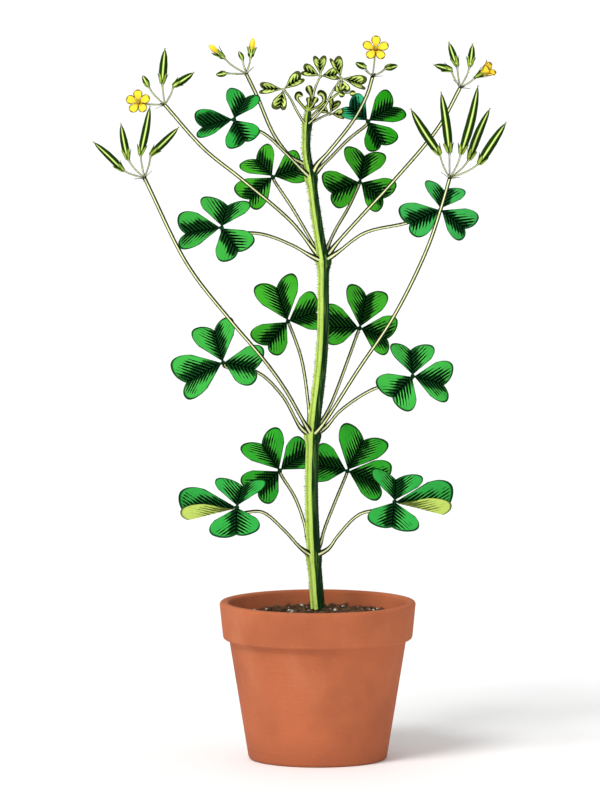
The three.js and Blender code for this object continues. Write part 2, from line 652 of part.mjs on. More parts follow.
// A body turned round Z from points of radius and height
function turned(outline) {
  const points = outline.map(([out, up]) => new THREE.Vector2(out, up));
  return new THREE.LatheGeometry(points, TURNED_SIDES).rotateX(Math.PI / 2);
}

// The pot's inside radius at a height
function potInside(height) {
  const top = POT_TOP_RADIUS - POT_WALL;
  const bottom = POT_FOOT_RADIUS - POT_WALL;
  return bottom + ((top - bottom) * height) / POT_HEIGHT;
}

// Soil that fills the pot, raised towards the middle, with the hole that the stem stands in
function soilBody() {
  const hole = STEM_LENGTHS[0].radius + ROOM;
  const edge = potInside(SOIL_EDGE_HEIGHT);
  const cornerHeight = POT_FLOOR + POT_CORNER;
  return turned([
    [0, POT_FLOOR + ROOM],
    [potInside(POT_FLOOR) - POT_CORNER - ROOM, POT_FLOOR + ROOM],
    [potInside(cornerHeight) - ROOM, cornerHeight + ROOM],
    [edge - ROOM, SOIL_EDGE_HEIGHT],
    [edge * 0.7, SOIL_EDGE_HEIGHT + (SOIL_HEIGHT - SOIL_EDGE_HEIGHT) * 0.35],
    [edge * 0.35, SOIL_EDGE_HEIGHT + (SOIL_HEIGHT - SOIL_EDGE_HEIGHT) * 0.85],
    [hole, SOIL_HEIGHT],
    [hole, SOIL_HEIGHT - STEM_HOLE_DEPTH],
    [0, SOIL_HEIGHT - STEM_HOLE_DEPTH],
  ]);
}

function named(name, geometry, color, roughness = 0.6) {
  const material = new THREE.MeshStandardMaterial({ color, roughness, metalness: 0 });
  const mesh = new THREE.Mesh(geometry, material);
  mesh.name = name;
  return mesh;
}

const group = new THREE.Group();
group.add(named("pot", potBody(), TERRACOTTA, 0.85));
group.add(named("soil", soilBody(), SOIL_BROWN, 0.95));

// The plant's own heights start at the soil
const plant = new THREE.Group();
plant.position.z = SOIL_HEIGHT;
group.add(plant);

plant.add(named("main_stem", stemBody(), STEM_GREEN));
for (const leaf of LEAVES) {
  const blade = joined(leafBlade(leaf, GROWN));
  plant.add(named(`${leaf.name}_blade`, blade, leaf.deep ? DEEP_GREEN : GREEN));
  plant.add(named(`${leaf.name}_stalk`, stalkBar(petioleCourse(leaf), PETIOLE_RADIUS, 5), STALK_GREEN));
}
for (const leaf of YOUNG_LEAVES) {
  const course = new THREE.CatmullRomCurve3([...leaf.stalk, leaf.hub].map(vector));
  const pieces = leafBlade(leaf, YOUNG);
  pieces.push(bar(course, YOUNG_STALK_RADIUS, 5, 4));
  plant.add(named(leaf.name, joined(pieces), YOUNG_GREEN));
}
for (const spray of SPRAYS) {
  plant.add(named(spray.name, sprayGreen(spray), POD_GREEN));
  if (spray.flower) plant.add(named(`${spray.name}_flower`, corolla(spray.flower), YELLOW));
  spray.pods.filter((pod) => pod.petals).forEach((pod, i) => {
    plant.add(named(`${spray.name}_bud_petals_${i + 1}`, petalTip(pod), YELLOW));
  });
}

export default group;
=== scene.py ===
import math
from collections import namedtuple
from functools import partialmethod

import bmesh
import bpy
import numpy as np
from bpy.props import FloatProperty, FloatVectorProperty, PointerProperty
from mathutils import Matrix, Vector


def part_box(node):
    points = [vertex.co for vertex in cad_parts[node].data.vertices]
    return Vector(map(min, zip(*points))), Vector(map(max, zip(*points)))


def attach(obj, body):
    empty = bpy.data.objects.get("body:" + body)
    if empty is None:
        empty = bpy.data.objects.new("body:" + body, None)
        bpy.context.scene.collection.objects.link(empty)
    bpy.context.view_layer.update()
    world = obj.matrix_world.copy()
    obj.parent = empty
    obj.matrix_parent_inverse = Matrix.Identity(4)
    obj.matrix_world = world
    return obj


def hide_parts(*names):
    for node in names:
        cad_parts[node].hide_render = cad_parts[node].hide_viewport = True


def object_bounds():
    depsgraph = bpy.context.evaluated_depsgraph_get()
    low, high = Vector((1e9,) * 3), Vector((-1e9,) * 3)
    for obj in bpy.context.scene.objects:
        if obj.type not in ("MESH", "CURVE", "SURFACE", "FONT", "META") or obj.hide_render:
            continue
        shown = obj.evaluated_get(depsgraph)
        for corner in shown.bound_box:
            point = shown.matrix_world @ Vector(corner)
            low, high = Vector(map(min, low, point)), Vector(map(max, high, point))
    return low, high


bl_info = {
    "name": "Potted yellow wood sorrel",
    "version": (1, 0, 0),
    "blender": (4, 5, 0),
    "location": "3D View > Sidebar > Sorrel",
    "description": "Builds the looks of a yellow wood sorrel in a clay pot of soil",
    "category": "Object",
}

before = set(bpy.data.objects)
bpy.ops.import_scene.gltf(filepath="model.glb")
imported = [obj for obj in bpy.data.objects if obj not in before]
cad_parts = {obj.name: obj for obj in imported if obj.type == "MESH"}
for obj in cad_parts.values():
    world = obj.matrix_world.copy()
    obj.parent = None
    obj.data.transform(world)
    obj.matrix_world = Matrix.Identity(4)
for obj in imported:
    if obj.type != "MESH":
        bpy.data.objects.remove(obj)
CAD_BOX = [list(corner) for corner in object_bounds()]

# The plant is laid out in millimetres above the soil, where the frame's solids have it
MM = 0.001
SOIL_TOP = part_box("soil")[1].z / MM
POT_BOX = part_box("pot")

Leaf = namedtuple("Leaf", "name joint hub turn tilt leaflets stalk")
Leaflet = namedtuple("Leaflet", "angle reach width folded shade teal", defaults=(0, 0, 0))
Pod = namedtuple("Pod", "foot tip radius petals", defaults=(None,))
Flower = namedtuple("Flower", "at facing open petal")
Spray = namedtuple("Spray", "name joint root stalk pods flower", defaults=(None,))
Joint = namedtuple("Joint", "at swelling")

# Stem: joints from the soil up, and each length's radius and the sideways bow of its middle
JOINTS = {
    "a": Joint((-1.5, 0, 19.5), 3.0),
    "b": Joint((-2, 0, 64), 3.2),
    "c": Joint((2, 0, 128), 2.9),
    "d": Joint((-2.5, 0, 158.5), 2.4),
    "e": Joint((-4, 0, 178), 1.9),
}
STEM_FOOT = (0, 0, -24.7)
STEM_TIP = (-3.5, 0, 184)
STEM_BOWS = ((0, 0.4, 0), (-0.6, -0.6, 0), (1.5, 0.8, 0), (-0.2, -0.6, 0), (-1, 0.4, 0), (0, 0, 0))
STEM_RADII = (2.6, 2.52, 2.3, 2.0, 1.72, 1.4, 1.0)

# Grown leaves: joint, hub, turn and tilt in degrees, then for each leaflet its angle, reach and width,
# which half of it stands up over the face, and how much painted shade it has and how teal it is where
# that differs from the others. The last row has the stalk's points from joint to hub.
LEAVES = (
    Leaf("leaf_1_left_outer", "a", (-29.5, -18, 40), -14, 44,
         ((89, 12, 20, 0, 0.3), (-162, 21, 22, 1, 1.0), (-82, 14.5, 19.5)),
         ((-6.5, -5, 23.5), (-12.5, -9, 30.5), (-20.5, -13, 37.5))),
    Leaf("leaf_1_left_inner", "a", (-14, 20, 49), -10, 34,
         ((125, 17, 17.5), (40, 14.5, 15, 0, 0.7), (-129, 14, 17, 0, 0.8)),
         ((-4, 4, 26.5), (-5, 9, 31), (-8.5, 17.5, 39.5))),
    Leaf("leaf_1_right_inner", "a", (11, 23, 48.5), 10, 34,
         ((60, 18.5, 20), (165, 13, 17.5, 0, 0.7), (-26, 15.5, 18.5, 0, 0.8)),
         ((1, 4, 24), (2.5, 10, 28.5), (6, 18.5, 36.5))),
    Leaf("leaf_1_right_outer", "a", (28, -18, 42), 14, 44,
         ((77, 13, 20, 0, 0.3), (-18, 21, 23, -1, 0.6), (-105, 14, 20, 0, 0.2)),
         ((4, -4, 23), (7.5, -6, 28), (15.5, -11, 36.5))),
    Leaf("leaf_2_left_outer", "b", (-34.5, -20, 93), -16, 32,
         ((113, 17.5, 17, 0, 0.2), (-148, 18.5, 20, 0, 0.5), (-9, 15, 17.5, 0, 0.3)),
         ((-6, -2.5, 67), (-13, -7, 79.5), (-22.5, -14, 89))),
    Leaf("leaf_2_left_inner", "b", (-11, 22, 104), -12, 30,
         ((113, 18.5, 17.5), (21, 13, 17, 0, 0.8), (-125, 14, 16, 0, 0.3)),
         ((-3, 4, 68.5), (-3.5, 9, 75), (-6, 18, 90.5))),
    Leaf("leaf_2_right_inner", "b", (15.5, 22, 101.5), 12, 30,
         ((73, 17, 16.5, 0, 0.3), (176, 13.5, 17.5, 0, 0.8), (-24, 13, 17.5, 0, 0.8)),
         ((1.5, 4, 69), (5, 9, 75), (11.5, 19.5, 91))),
    Leaf("leaf_2_right_outer", "b", (34.5, -20, 88), 16, 28,
         ((86, 12.5, 17.5, 0, 0.1), (-17, 14.5, 17.5, 0, 0.5), (-138, 14, 18)),
         ((3, -2.5, 67.5), (8, -5, 73.5), (20.5, -12, 82.5))),
    Leaf("leaf_3_left_outer", "c", (-35, -18, 142), -14, 30,
         ((84, 11, 20, 0, 0.4), (-170, 16.5, 16, 0, 0.5), (-52, 14, 16, 0, 0.2)),
         ((-2, -3, 130), (-9.5, -6, 134.5), (-20.5, -11, 139))),
    Leaf("leaf_3_left_inner", "c", (-16.5, 25, 157), -12, 32,
         ((134, 12.5, 15, 0, 0.3), (22, 12, 15, 0, 0.7), (-131, 14.5, 15, 0, 0.3)),
         ((-0.5, 4.5, 132), (-4, 12, 137.5), (-9.5, 21.5, 146))),
    Leaf("leaf_3_right_inner", "c", (15.5, 20, 155.5), 8, 26,
         ((77, 13, 16.5), (-160, 13.5, 16, 0, 0.3), (-38, 12.5, 15.5, 0, 0.8)),
         ((3.5, 4.5, 132.5), (6.5, 12, 138.5), (11.5, 19.5, 146.5))),
    Leaf("leaf_3_right_outer", "c", (44.5, -18, 148.5), 16, 32,
         ((72, 10.2, 16, 0, 0.4, 0.35), (-157, 16, 15, 0, 0.3, 0.35), (-44, 13.5, 15, 0, 0.3, 0.35)),
         ((7, -3.5, 131.5), (17, -7, 139), (31.5, -13, 143))),
    Leaf("leaf_4_left", "d", (-30.5, -20, 181.5), -16, 32,
         ((73, 11.5, 14, 0, 0.4), (-166, 14.5, 12.5, 0, 1.0), (-58, 12, 14, 0, 0.3)),
         ((-5.5, -3, 161.5), (-12, -8, 168.5), (-20, -13, 176))),
    Leaf("leaf_4_right", "d", (18.5, 18, 178), 12, 28,
         ((31, 14, 14, 0, 0.5), (-66, 12, 14, 0, 0.4), (136, 10.5, 12.5, 0, 0.5, 1.0)),
         ((0, 4, 161), (5, 11, 165.5), (11.5, 18, 171.5))),
)
YOUNG_LEAVES = (
    Leaf("young_leaf_left", None, (-12.5, -8, 191.5), -18, 20,
         ((36, 8.5, 6.5), (180, 9, 5.5), (-94, 8, 7)),
         ((-5.6, -2.6, 179.8), (-8, -4.5, 184), (-10, -6, 188))),
    Leaf("young_leaf_middle", None, (1, -3, 196), 4, 24,
         ((92, 7.5, 6), (160, 7, 6), (4, 6.5, 6)),
         ((-1.6, -0.6, 185.2), (-1.8, -1, 188), (-0.8, -2, 192))),
    Leaf("young_leaf_right", None, (8.5, -7, 195.5), 20, 22,
         ((104, 8, 6), (-18, 9.5, 6.5), (-88, 5.5, 5.5)),
         ((-2.5, -2.1, 179.4), (2.5, -4.5, 185), (5, -5.5, 190))),
    Leaf("young_leaf_low", None, (4.5, 7, 181.5), 24, 24,
         ((62, 6, 5.5), (-8, 5, 5), (150, 5, 5)),
         ((-2.2, 2.2, 178.6), (-0.2, 4.2, 179.6), (2, 6.2, 180.6))),
)
# Sprouts at the growing tip: points from the stem to the end, and how thick the end is. Two are hooked.
SPROUTS = (
    (((-3.8, -0.5, 183), (-6.4, -1.5, 186), (-7.7, -2, 188.1), (-7, -2.2, 189.4), (-5.5, -2.3, 188.6)), 1.05),
    (((-3.5, -0.5, 183.5), (-3.4, -1.2, 186), (-3.3, -1.6, 188.2)), 0.95),
    (((-3, -0.8, 184), (-1.8, -1.5, 185.4), (-0.4, -1.8, 188.2)), 1.1),
    (((-2.8, -0.5, 183.5), (0.6, -1, 185), (2.3, -1.5, 187), (2.1, -1.8, 189), (0.9, -1.9, 189.8),
      (0, -1.9, 189)), 1.1),
    (((-3.2, 0.8, 184), (-2.4, 1.4, 188), (-3, 1.8, 190.4), (-3.7, 1.8, 192.2)), 1.35),
)
ROUND_BUDS = ((9.1, -8, 192.2), (8.7, -8.2, 189.6), (12.6, -7.6, 190), (7, -7.8, 191.6))
ROUND_BUD_STALK = ((-3, 0, 180.5), (2, -3.5, 185.5), (7.4, -7, 190))
SPRAYS = (
    Spray("spray_2_left", "b", (-62.5, -38, 161.5),
          ((-5, -5.5, 69.5), (-12.5, -19, 84), (-20.5, -29, 96), (-31.5, -34, 109.5), (-47, -37, 130)),
          (Pod((-70, -42, 164.5), (-80.5, -46, 175), 1.2),
           Pod((-68.5, -36, 168), (-71, -34, 180.5), 1.25),
           Pod((-64, -40, 170), (-60.5, -43, 187.5), 1.3),
           Pod((-60.5, -34, 169.5), (-50.5, -30, 179), 1.25))),
    Spray("spray_2_right", "b", (47.5, -33, 161),
          ((2, -5.5, 69), (14.5, -15, 89.5), (28, -24, 111), (39.5, -31, 135.5), (44.5, -33, 150.5)),
          (Pod((44, -37, 170), (33.5, -42, 186.5), 1.5),
           Pod((47.5, -31, 170), (44.5, -28, 191.5), 1.5),
           Pod((51.5, -35, 170), (57.5, -38, 194.5), 1.5),
           Pod((54.5, -30, 167.5), (62, -26, 185.5), 1.4),
           Pod((58, -36, 166.5), (67.5, -40, 181.5), 1.5))),
    Spray("spray_3_left", "c", (-56, 17, 184),
          ((-2.5, 1.5, 133.5), (-9.5, 4, 142), (-27.5, 10, 157), (-41.5, 14, 168)),
          (Pod((-57, 20, 191.5), (-56, 22, 204), 1.4),
           Pod((-53, 15, 191), (-45.5, 13, 196), 1.3),
           Pod((-62, 20, 190.5), (-64.2, 21, 194.5), 1.1)),
          Flower((-65.5, 14, 185), (-0.15, -0.94, 0.3), 76, 4.4)),
    Spray("spray_3_right", "c", (52, 8, 191),
          ((6.5, 1, 134), (15.5, 2, 144), (28, 4, 157.5), (44, 7, 176.5)),
          (Pod((49, 6, 197.5), (42.5, 4, 199.5), 1.2),
           Pod((51, 10, 198.5), (48, 12, 207), 1.2),
           Pod((55.5, 9, 198.5), (56.5, 10, 206.5), 1.2)),
          Flower((58.5, 5, 195.6), (0.8, -0.25, 0.5), 38, 6.2)),
    Spray("spray_4_left", "d", (-26, -7, 197),
          ((-4.5, 1.5, 163), (-10, -0.5, 166.5), (-16, -2, 174.5), (-22, -5, 188.5)),
          (Pod((-34, -9, 203), (-37, -10.4, 205.6), 1.1, 3.4),
           Pod((-27.2, -4.5, 202), (-28.8, -4, 205), 0.9),
           Pod((-24.4, -7, 203), (-24, -7, 206.4), 1.2, 3.6),
           Pod((-33.3, -11, 197.6), (-37, -12.2, 197), 1.1))),
    Spray("spray_4_right", "d", (20, 8, 195),
          ((-0.5, 0, 163), (4, 2, 168), (13.5, 5, 180), (18, 7, 188.5)),
          (Pod((17.5, 6, 198.5), (13.8, 4.6, 200.3), 1.2),
           Pod((24.6, 10, 198), (29.2, 12, 198.8), 1.2)),
          Flower((21, 6, 205), (0.05, -0.9, 0.42), 78, 4.7)),
)

# Shape of leaves, petals and stalks, as in the frame's solids
LEAFLET_SPREAD = 40
LEAFLET_DROOP = 0.11
LEAFLET_FOLD = 16
YOUNG_FOLD = 34
LEAFLET_START = 0.5
FOLDED_TURN = 100
FOLDED_BEND = 1.2
FOLDED_TWIST = 20
HUB_SINK = 0.4
STALK_BEND = 3.6
POD_RIDGES = 5
PETAL_WIDTH = 3.45
PETAL_MIDDLE = 0.62
SEAT_BACK = 1.3

# Sizes that the scene alone has. A stalk's radius is given for its middle, its base and its end.
LEAF_STALK = (0.62, 1.1, 0.68)
SPRAY_STALK = (0.7, 1.2, 0.7)
STALKLET_RADIUS = 0.3
GROWN_HUB = 0.85
YOUNG_HUB = 0.6
PETAL_THICKNESS = 0.2
SCALE_THICKNESS = 0.16

# Doming and waves are as given on a leaflet of the common reach. Young leaflets have a coarser grid.
COMMON_REACH = 15
LONGEST_YOUNG = 9.6
GROWN_GRID = (49, 41)
YOUNG_GRID = (29, 25)

# Shares of a pod's length and its radius there, as a share of its thickest. A shorter pod is still a bud.
POD_OUTLINE = ((0, 0.03, 0.1, 0.3, 0.55, 0.78, 0.9, 0.97, 1),
               (0.3, 0.55, 0.8, 1.0, 0.98, 0.74, 0.48, 0.24, 0.06))
LONGEST_BUD = 7

# The same for the petals at the tip of an opening bud
BUD_OUTLINE = ((0, 0.25, 0.45, 0.7, 0.9, 1), (0.55, 0.75, 0.95, 0.85, 0.45, 0.08))

# A flower whose petals lean out by more degrees than this is wide open
WIDE_OPEN = 60

# Hairs start inside the stalk, at this share of its radius, and have this radius of their own
HAIR_ROOT = 0.9
HAIR_RADIUS = 0.08

# The drain holes stand round the middle of the floor at this distance, in metres
DRAIN_RING = 0.014

# The soil's foot above the ground, and how far from the pot's wall its grains keep. Then the grains: how
# many, their finish, the smallest and largest size, and how rough.
SOIL_FOOT = 5.5
GRAIN_MARGIN = 1.6
SOIL_GRAINS = ((950, 0, 0.35, 1.15, 0.3), (60, 1, 0.5, 1.0, 0.2), (45, 2, 0.6, 1.3, 0.3))

# Places in the lists of finishes: of a leaf, of a spray, of a flower and of the stem
HUB = 2
STALK, POD, SEPAL, HAIR = range(4)
PETAL, ANTHER, FILAMENT = range(3)
RIBBED, FINE_HAIR, SPROUT = range(3)

# Leaves in front of the stem are by this share bluer than those behind it
FRONT_TEAL = 0.2

# The way round a tube is counted from its left, over its front, as seen with this direction behind it
TOWARDS_BACK = (0.02, 1, 0.03)

# One flat coordinate stands for so many millimetres on a leaflet, along a stalk and on a petal
FLAT_SPAN = 40
STALK_SPAN = 100
PETAL_SPAN = 20


def tint(*levels):
    """A colour given from 0 to 255, as the linear colour that a shader takes."""
    shares = [level / 255 for level in levels]
    return tuple(s / 12.92 if s < 0.04 else ((s + 0.055) / 1.055) ** 2.4 for s in shares)


def deeper(colour, share):
    """A colour at a share of its brightness."""
    return tuple(part * share for part in colour)


def point(values):
    return np.array(values, float)


def unit(vectors):
    """A vector, or each of many, at length 1."""
    return vectors / np.maximum(np.linalg.norm(vectors, axis=-1, keepdims=True), 1e-9)


def turned(vector, axis, degrees):
    """A vector turned about a unit axis."""
    angle = math.radians(degrees)
    along = axis * np.dot(axis, vector) * (1 - math.cos(angle))
    return vector * math.cos(angle) + np.cross(axis, vector) * math.sin(angle) + along


def between(first, second, degrees):
    """The direction so many degrees from the first towards the second, which is square to it."""
    angle = math.radians(degrees)
    return first * math.cos(angle) + second * math.sin(angle)


def seen_at(around, up):
    """The direction so many degrees round to the right from the front, and so many up."""
    return between(between(point((0, -1, 0)), point((1, 0, 0)), around), point((0, 0, 1)), up)


def ring_of(way, count, start):
    """Unit directions spaced round a way."""
    side = unit(np.cross((0.31, 0.83, 0.47), way))
    return [turned(side, way, start + 360 * i / count) for i in range(count)]


def smooth(low, high, value):
    """0 below low, 1 above high, and a smooth rise between them."""
    share = np.clip((value - low) / (high - low), 0, 1)
    return share * share * (3 - 2 * share)


def hill(value, centre, width):
    return np.exp(-(((value - centre) / width) ** 2))


def smooth_line(knots, step=0.7):
    """Points about `step` apart on the smooth line through the knots that the frame's stalks follow."""
    knots = [point(knot) for knot in knots]
    whole = [2 * knots[0] - knots[1], *knots, 2 * knots[-1] - knots[-2]]
    line = [knots[0][None]]
    for four in zip(whole, whole[1:], whole[2:], whole[3:]):
        before, start, end, after = four
        lead, span, trail = (np.linalg.norm(b - a) ** 0.5 for a, b in zip(four, four[1:]))
        way = end - start
        rise = way + ((start - before) / lead - (end - before) / (lead + span)) * span
        fall = way + ((after - end) / trail - (after - start) / (span + trail)) * span
        count = max(2, round(np.linalg.norm(way) / step))
        t = (np.arange(1, count + 1) / count)[:, None]
        line.append(start + rise * t + (3 * way - 2 * rise - fall) * t**2 + (rise + fall - 2 * way) * t**3)
    return np.concatenate(line)


def lengths(line):
    """How far along a line each of its points lies."""
    return np.concatenate([[0], np.cumsum(np.linalg.norm(np.diff(line, axis=0), axis=1))])


def frames_along(line):
    """The way, side and up of each point of a line, carried along without a twist."""
    ways = unit(np.gradient(line, axis=0))
    sides = [unit(np.cross(ways[0], TOWARDS_BACK))]
    for way in ways:
        sides.append(unit(sides[-1] - way * np.dot(sides[-1], way)))
    sides = np.array(sides[1:])
    return ways, sides, np.cross(ways, sides)


def layers(*grids):
    """Grids, or plain numbers, laid together as the columns of one grid."""
    return np.stack(np.broadcast_arrays(*grids), axis=2)


def cells(grid):
    """The four corners of each cell of a grid, of its numbers or of its flat coordinates."""
    corners = [grid[:-1, :-1], grid[1:, :-1], grid[1:, 1:], grid[:-1, 1:]]
    return np.stack(corners, axis=2).reshape(-1, 4, *grid.shape[2:])


def rim_of(grid):
    """The outermost places of a grid, in order round it."""
    return np.concatenate([grid[:, 0], grid[-1, 1:], grid[-2::-1, -1], grid[0, -2:0:-1]])


class Shape:
    """Points, faces, finishes and flat coordinates of one piece, gathered part by part."""

    def __init__(self):
        self.points, self.faces, self.finishes, self.flats = [], [], [], []
        self.count = 0

    def place(self, points):
        """Adds a grid of points and gives the grid of their numbers."""
        numbers = np.arange(points.size // 3).reshape(points.shape[:-1]) + self.count
        self.points.append(points.reshape(-1, 3))
        self.count += numbers.size
        return numbers

    def skin(self, faces, finish=0, flat=None):
        """Adds faces of equal size, with up to six flat coordinates for each corner."""
        self.faces.extend(faces.tolist())
        self.finishes.append(np.full(len(faces), finish))
        full = np.zeros((faces.size, 6))
        if flat is not None:
            full[:, : flat.shape[-1]] = flat.reshape(faces.size, -1)
        self.flats.append(full)

    def rings(self, grid, foot, end, finish=0, flat=None):
        """A closed body over rings of points, with its foot and its end each drawn in to one point."""
        numbers = self.place(grid)
        numbers = np.concatenate([numbers, numbers[:, :1]], axis=1)
        flat = np.zeros((*numbers.shape, 1)) if flat is None else flat
        self.skin(cells(numbers)[:, ::-1], finish, cells(flat)[:, ::-1])
        for ring, row, tip in ((numbers[0], flat[0], foot), (numbers[-1][::-1], flat[-1][::-1], end)):
            pole = np.full(len(ring) - 1, self.place(point(tip)))
            self.skin(np.stack([pole, ring[1:], ring[:-1]], axis=1), finish,
                      np.stack([row[:-1], row[1:], row[:-1]], axis=1))

    def tube(self, line, radius, sides, finish=0, ribs=None, shares=None):
        """A closed bar along a line. `ribs` scales its radius by the angle and the length along. `shares` has
        the share of the way at its start and what each millimetre adds, for the finishes that ask."""
        _, side, up = frames_along(line)
        along = lengths(line)[:, None]
        angle = np.linspace(0, 2 * np.pi, sides, endpoint=False)
        radius = np.broadcast_to(radius, len(line))[:, None]
        if ribs:
            radius = radius * ribs(angle, along)
        out = side[:, None] * np.cos(angle)[:, None] + up[:, None] * np.sin(angle)[:, None]
        flat = [along / STALK_SPAN, np.linspace(0, 1, sides + 1)]
        if shares:
            flat += [shares[0] + along * shares[1], flat[1]]
        self.rings(line[:, None] + out * radius[..., None], line[0], line[-1], finish, layers(*flat))

    def blade(self, middle, thickness, relief, flat, upper=0, under=1):
        """A thin closed blade on both sides of a grid of points, whose rows run from the foot to the end."""
        normal = unit(np.cross(np.gradient(middle, axis=0), np.gradient(middle, axis=1)))
        top, bottom = (self.place(middle + normal * np.asarray(relief + half)[..., None])
                       for half in (thickness / 2, -thickness / 2))
        self.skin(cells(top), upper, cells(flat))
        self.skin(cells(bottom)[:, ::-1], under, cells(flat)[:, ::-1])
        above, below, beside = rim_of(top), rim_of(bottom), rim_of(flat)
        after = np.roll(beside, -1, axis=0)
        self.skin(np.stack([above, below, np.roll(below, -1), np.roll(above, -1)], axis=1), upper,
                  np.stack([beside, beside, after, after], axis=1))

    def hairs(self, line, radius, spacing, length, finish, rng):
        """Fine closed hairs all round a stalk, about one for each `spacing` along it."""
        ways, side, up = frames_along(line)
        count = int(lengths(line)[-1] / spacing)
        where = rng.integers(1, len(line) - 1, count)
        angle = rng.uniform(0, 2 * np.pi, count)[:, None]
        out = side[where] * np.cos(angle) + up[where] * np.sin(angle)
        lean = ways[where] * rng.uniform(-0.35, 0.6, (count, 1))
        way = unit(out + lean + rng.normal(size=(count, 3)) * 0.15)
        feet = line[where] + out * np.broadcast_to(radius, len(line))[where, None] * HAIR_ROOT
        tips = feet + way * length * rng.uniform(0.6, 1.2, (count, 1))
        side = unit(np.cross(way, (0.53, -0.21, 0.82)))
        up = np.cross(way, side)
        corners = [feet + HAIR_RADIUS * (side * math.cos(a) + up * math.sin(a)) for a in (0.0, 2.1, 4.2)]
        numbers = self.place(np.stack([*corners, tips], axis=1))
        for corner in ((0, 1, 3), (1, 2, 3), (2, 0, 3), (2, 1, 0)):
            self.skin(numbers[:, corner], finish)

    def lumps(self, places, sizes, rng, finish=0, rough=0.25, around=0.0):
        """Small rough grains at the places, each squashed and turned at random. All of a grain is the same
        way round, for the finishes that ask."""
        ball = bmesh.new()
        bmesh.ops.create_icosphere(ball, subdivisions=2, radius=1)
        points = np.array([vertex.co for vertex in ball.verts])
        faces = np.array([[vertex.index for vertex in face.verts] for face in ball.faces])
        ball.free()
        for place, size in zip(places, sizes):
            turn, _ = np.linalg.qr(rng.normal(size=(3, 3)))
            turn *= np.sign(np.linalg.det(turn))
            stretch = size * rng.uniform(0.6, 1.15, 3)
            grain = points * (1 + rough * rng.uniform(-1, 1, (len(points), 1)))
            numbers = self.place((grain * stretch) @ turn + place)
            self.skin(numbers[faces], finish, np.broadcast_to((0, around), (*faces.shape, 2)))

    def build(self, name, finishes, lift=SOIL_TOP):
        """Makes the object, in metres. `lift` raises it by so many millimetres."""
        points = (np.concatenate(self.points) + (0, 0, lift)) * MM
        mesh = bpy.data.meshes.new(name)
        mesh.from_pydata(points.tolist(), [], self.faces)
        for finish in finishes:
            mesh.materials.append(finish)
        mesh.polygons.foreach_set("material_index", np.concatenate(self.finishes).astype(np.int32))
        mesh.polygons.foreach_set("use_smooth", np.ones(len(mesh.polygons), bool))
        flats = np.concatenate(self.flats)
        # The third layer carries a leaflet's amount of painted shade and its teal
        for start, layer in enumerate(("flat", "place", "shade_and_teal")):
            columns = flats[:, 2 * start : 2 * start + 2]
            mesh.uv_layers.new(name=layer).data.foreach_set("uv", columns.ravel())
        mesh.update()
        piece = bpy.data.objects.new(name, mesh)
        bpy.context.scene.collection.objects.link(piece)
        return piece


def settle(piece, slot, *nodes):
    """The piece stands for the nodes and rides with them. `slot` is not used."""
    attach(piece, "root")
    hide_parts(*nodes)


def add_node(tree, kind, inputs, **settings):
    """A shader node whose inputs are linked to terms or set to values."""
    node = tree.nodes.new("ShaderNode" + kind)
    for name, value in settings.items():
        setattr(node, name, value)
    for socket, value in inputs.items():
        if isinstance(value, Term):
            tree.links.new(value.output, node.inputs[socket])
        else:
            node.inputs[socket].default_value = value
    return node


class Term:
    """A number or colour that varies over a surface: the output of a node, with plain arithmetic."""

    def __init__(self, tree, output):
        self.tree, self.output = tree, output

    def made(self, kind, inputs, **settings):
        """The term that a node makes out of this one."""
        return Term(self.tree, add_node(self.tree, kind, inputs, **settings).outputs[0])

    def calc(self, operation, other=0.0):
        """What a math node makes of this term and another."""
        return self.made("Math", {0: self, 1: other}, operation=operation)

    __add__ = partialmethod(calc, "ADD")
    __sub__ = partialmethod(calc, "SUBTRACT")
    __mul__ = partialmethod(calc, "MULTIPLY")
    __abs__ = partialmethod(calc, "ABSOLUTE")
    sine = partialmethod(calc, "SINE")
    cosine = partialmethod(calc, "COSINE")

    def most(self, *others):
        """The greatest of this term and the others."""
        most = self
        for other in others:
            most = most.calc("MAXIMUM", other)
        return most

    def rise(self, low, high):
        """0 below low, 1 above high. With low above high it falls instead."""
        inputs = {"Value": self, "From Min": low, "From Max": high}
        return self.made("MapRange", inputs, interpolation_type="SMOOTHSTEP")

    def phase(self, spacing):
        """0 to 1 over each spacing."""
        return self.calc("DIVIDE", spacing).calc("FRACT")

    def stripes(self, spacing, centre, half):
        """1 on one stripe for each spacing, from a centre to half a width either side."""
        return abs(self.phase(spacing) - centre).rise(half, half * 0.55)


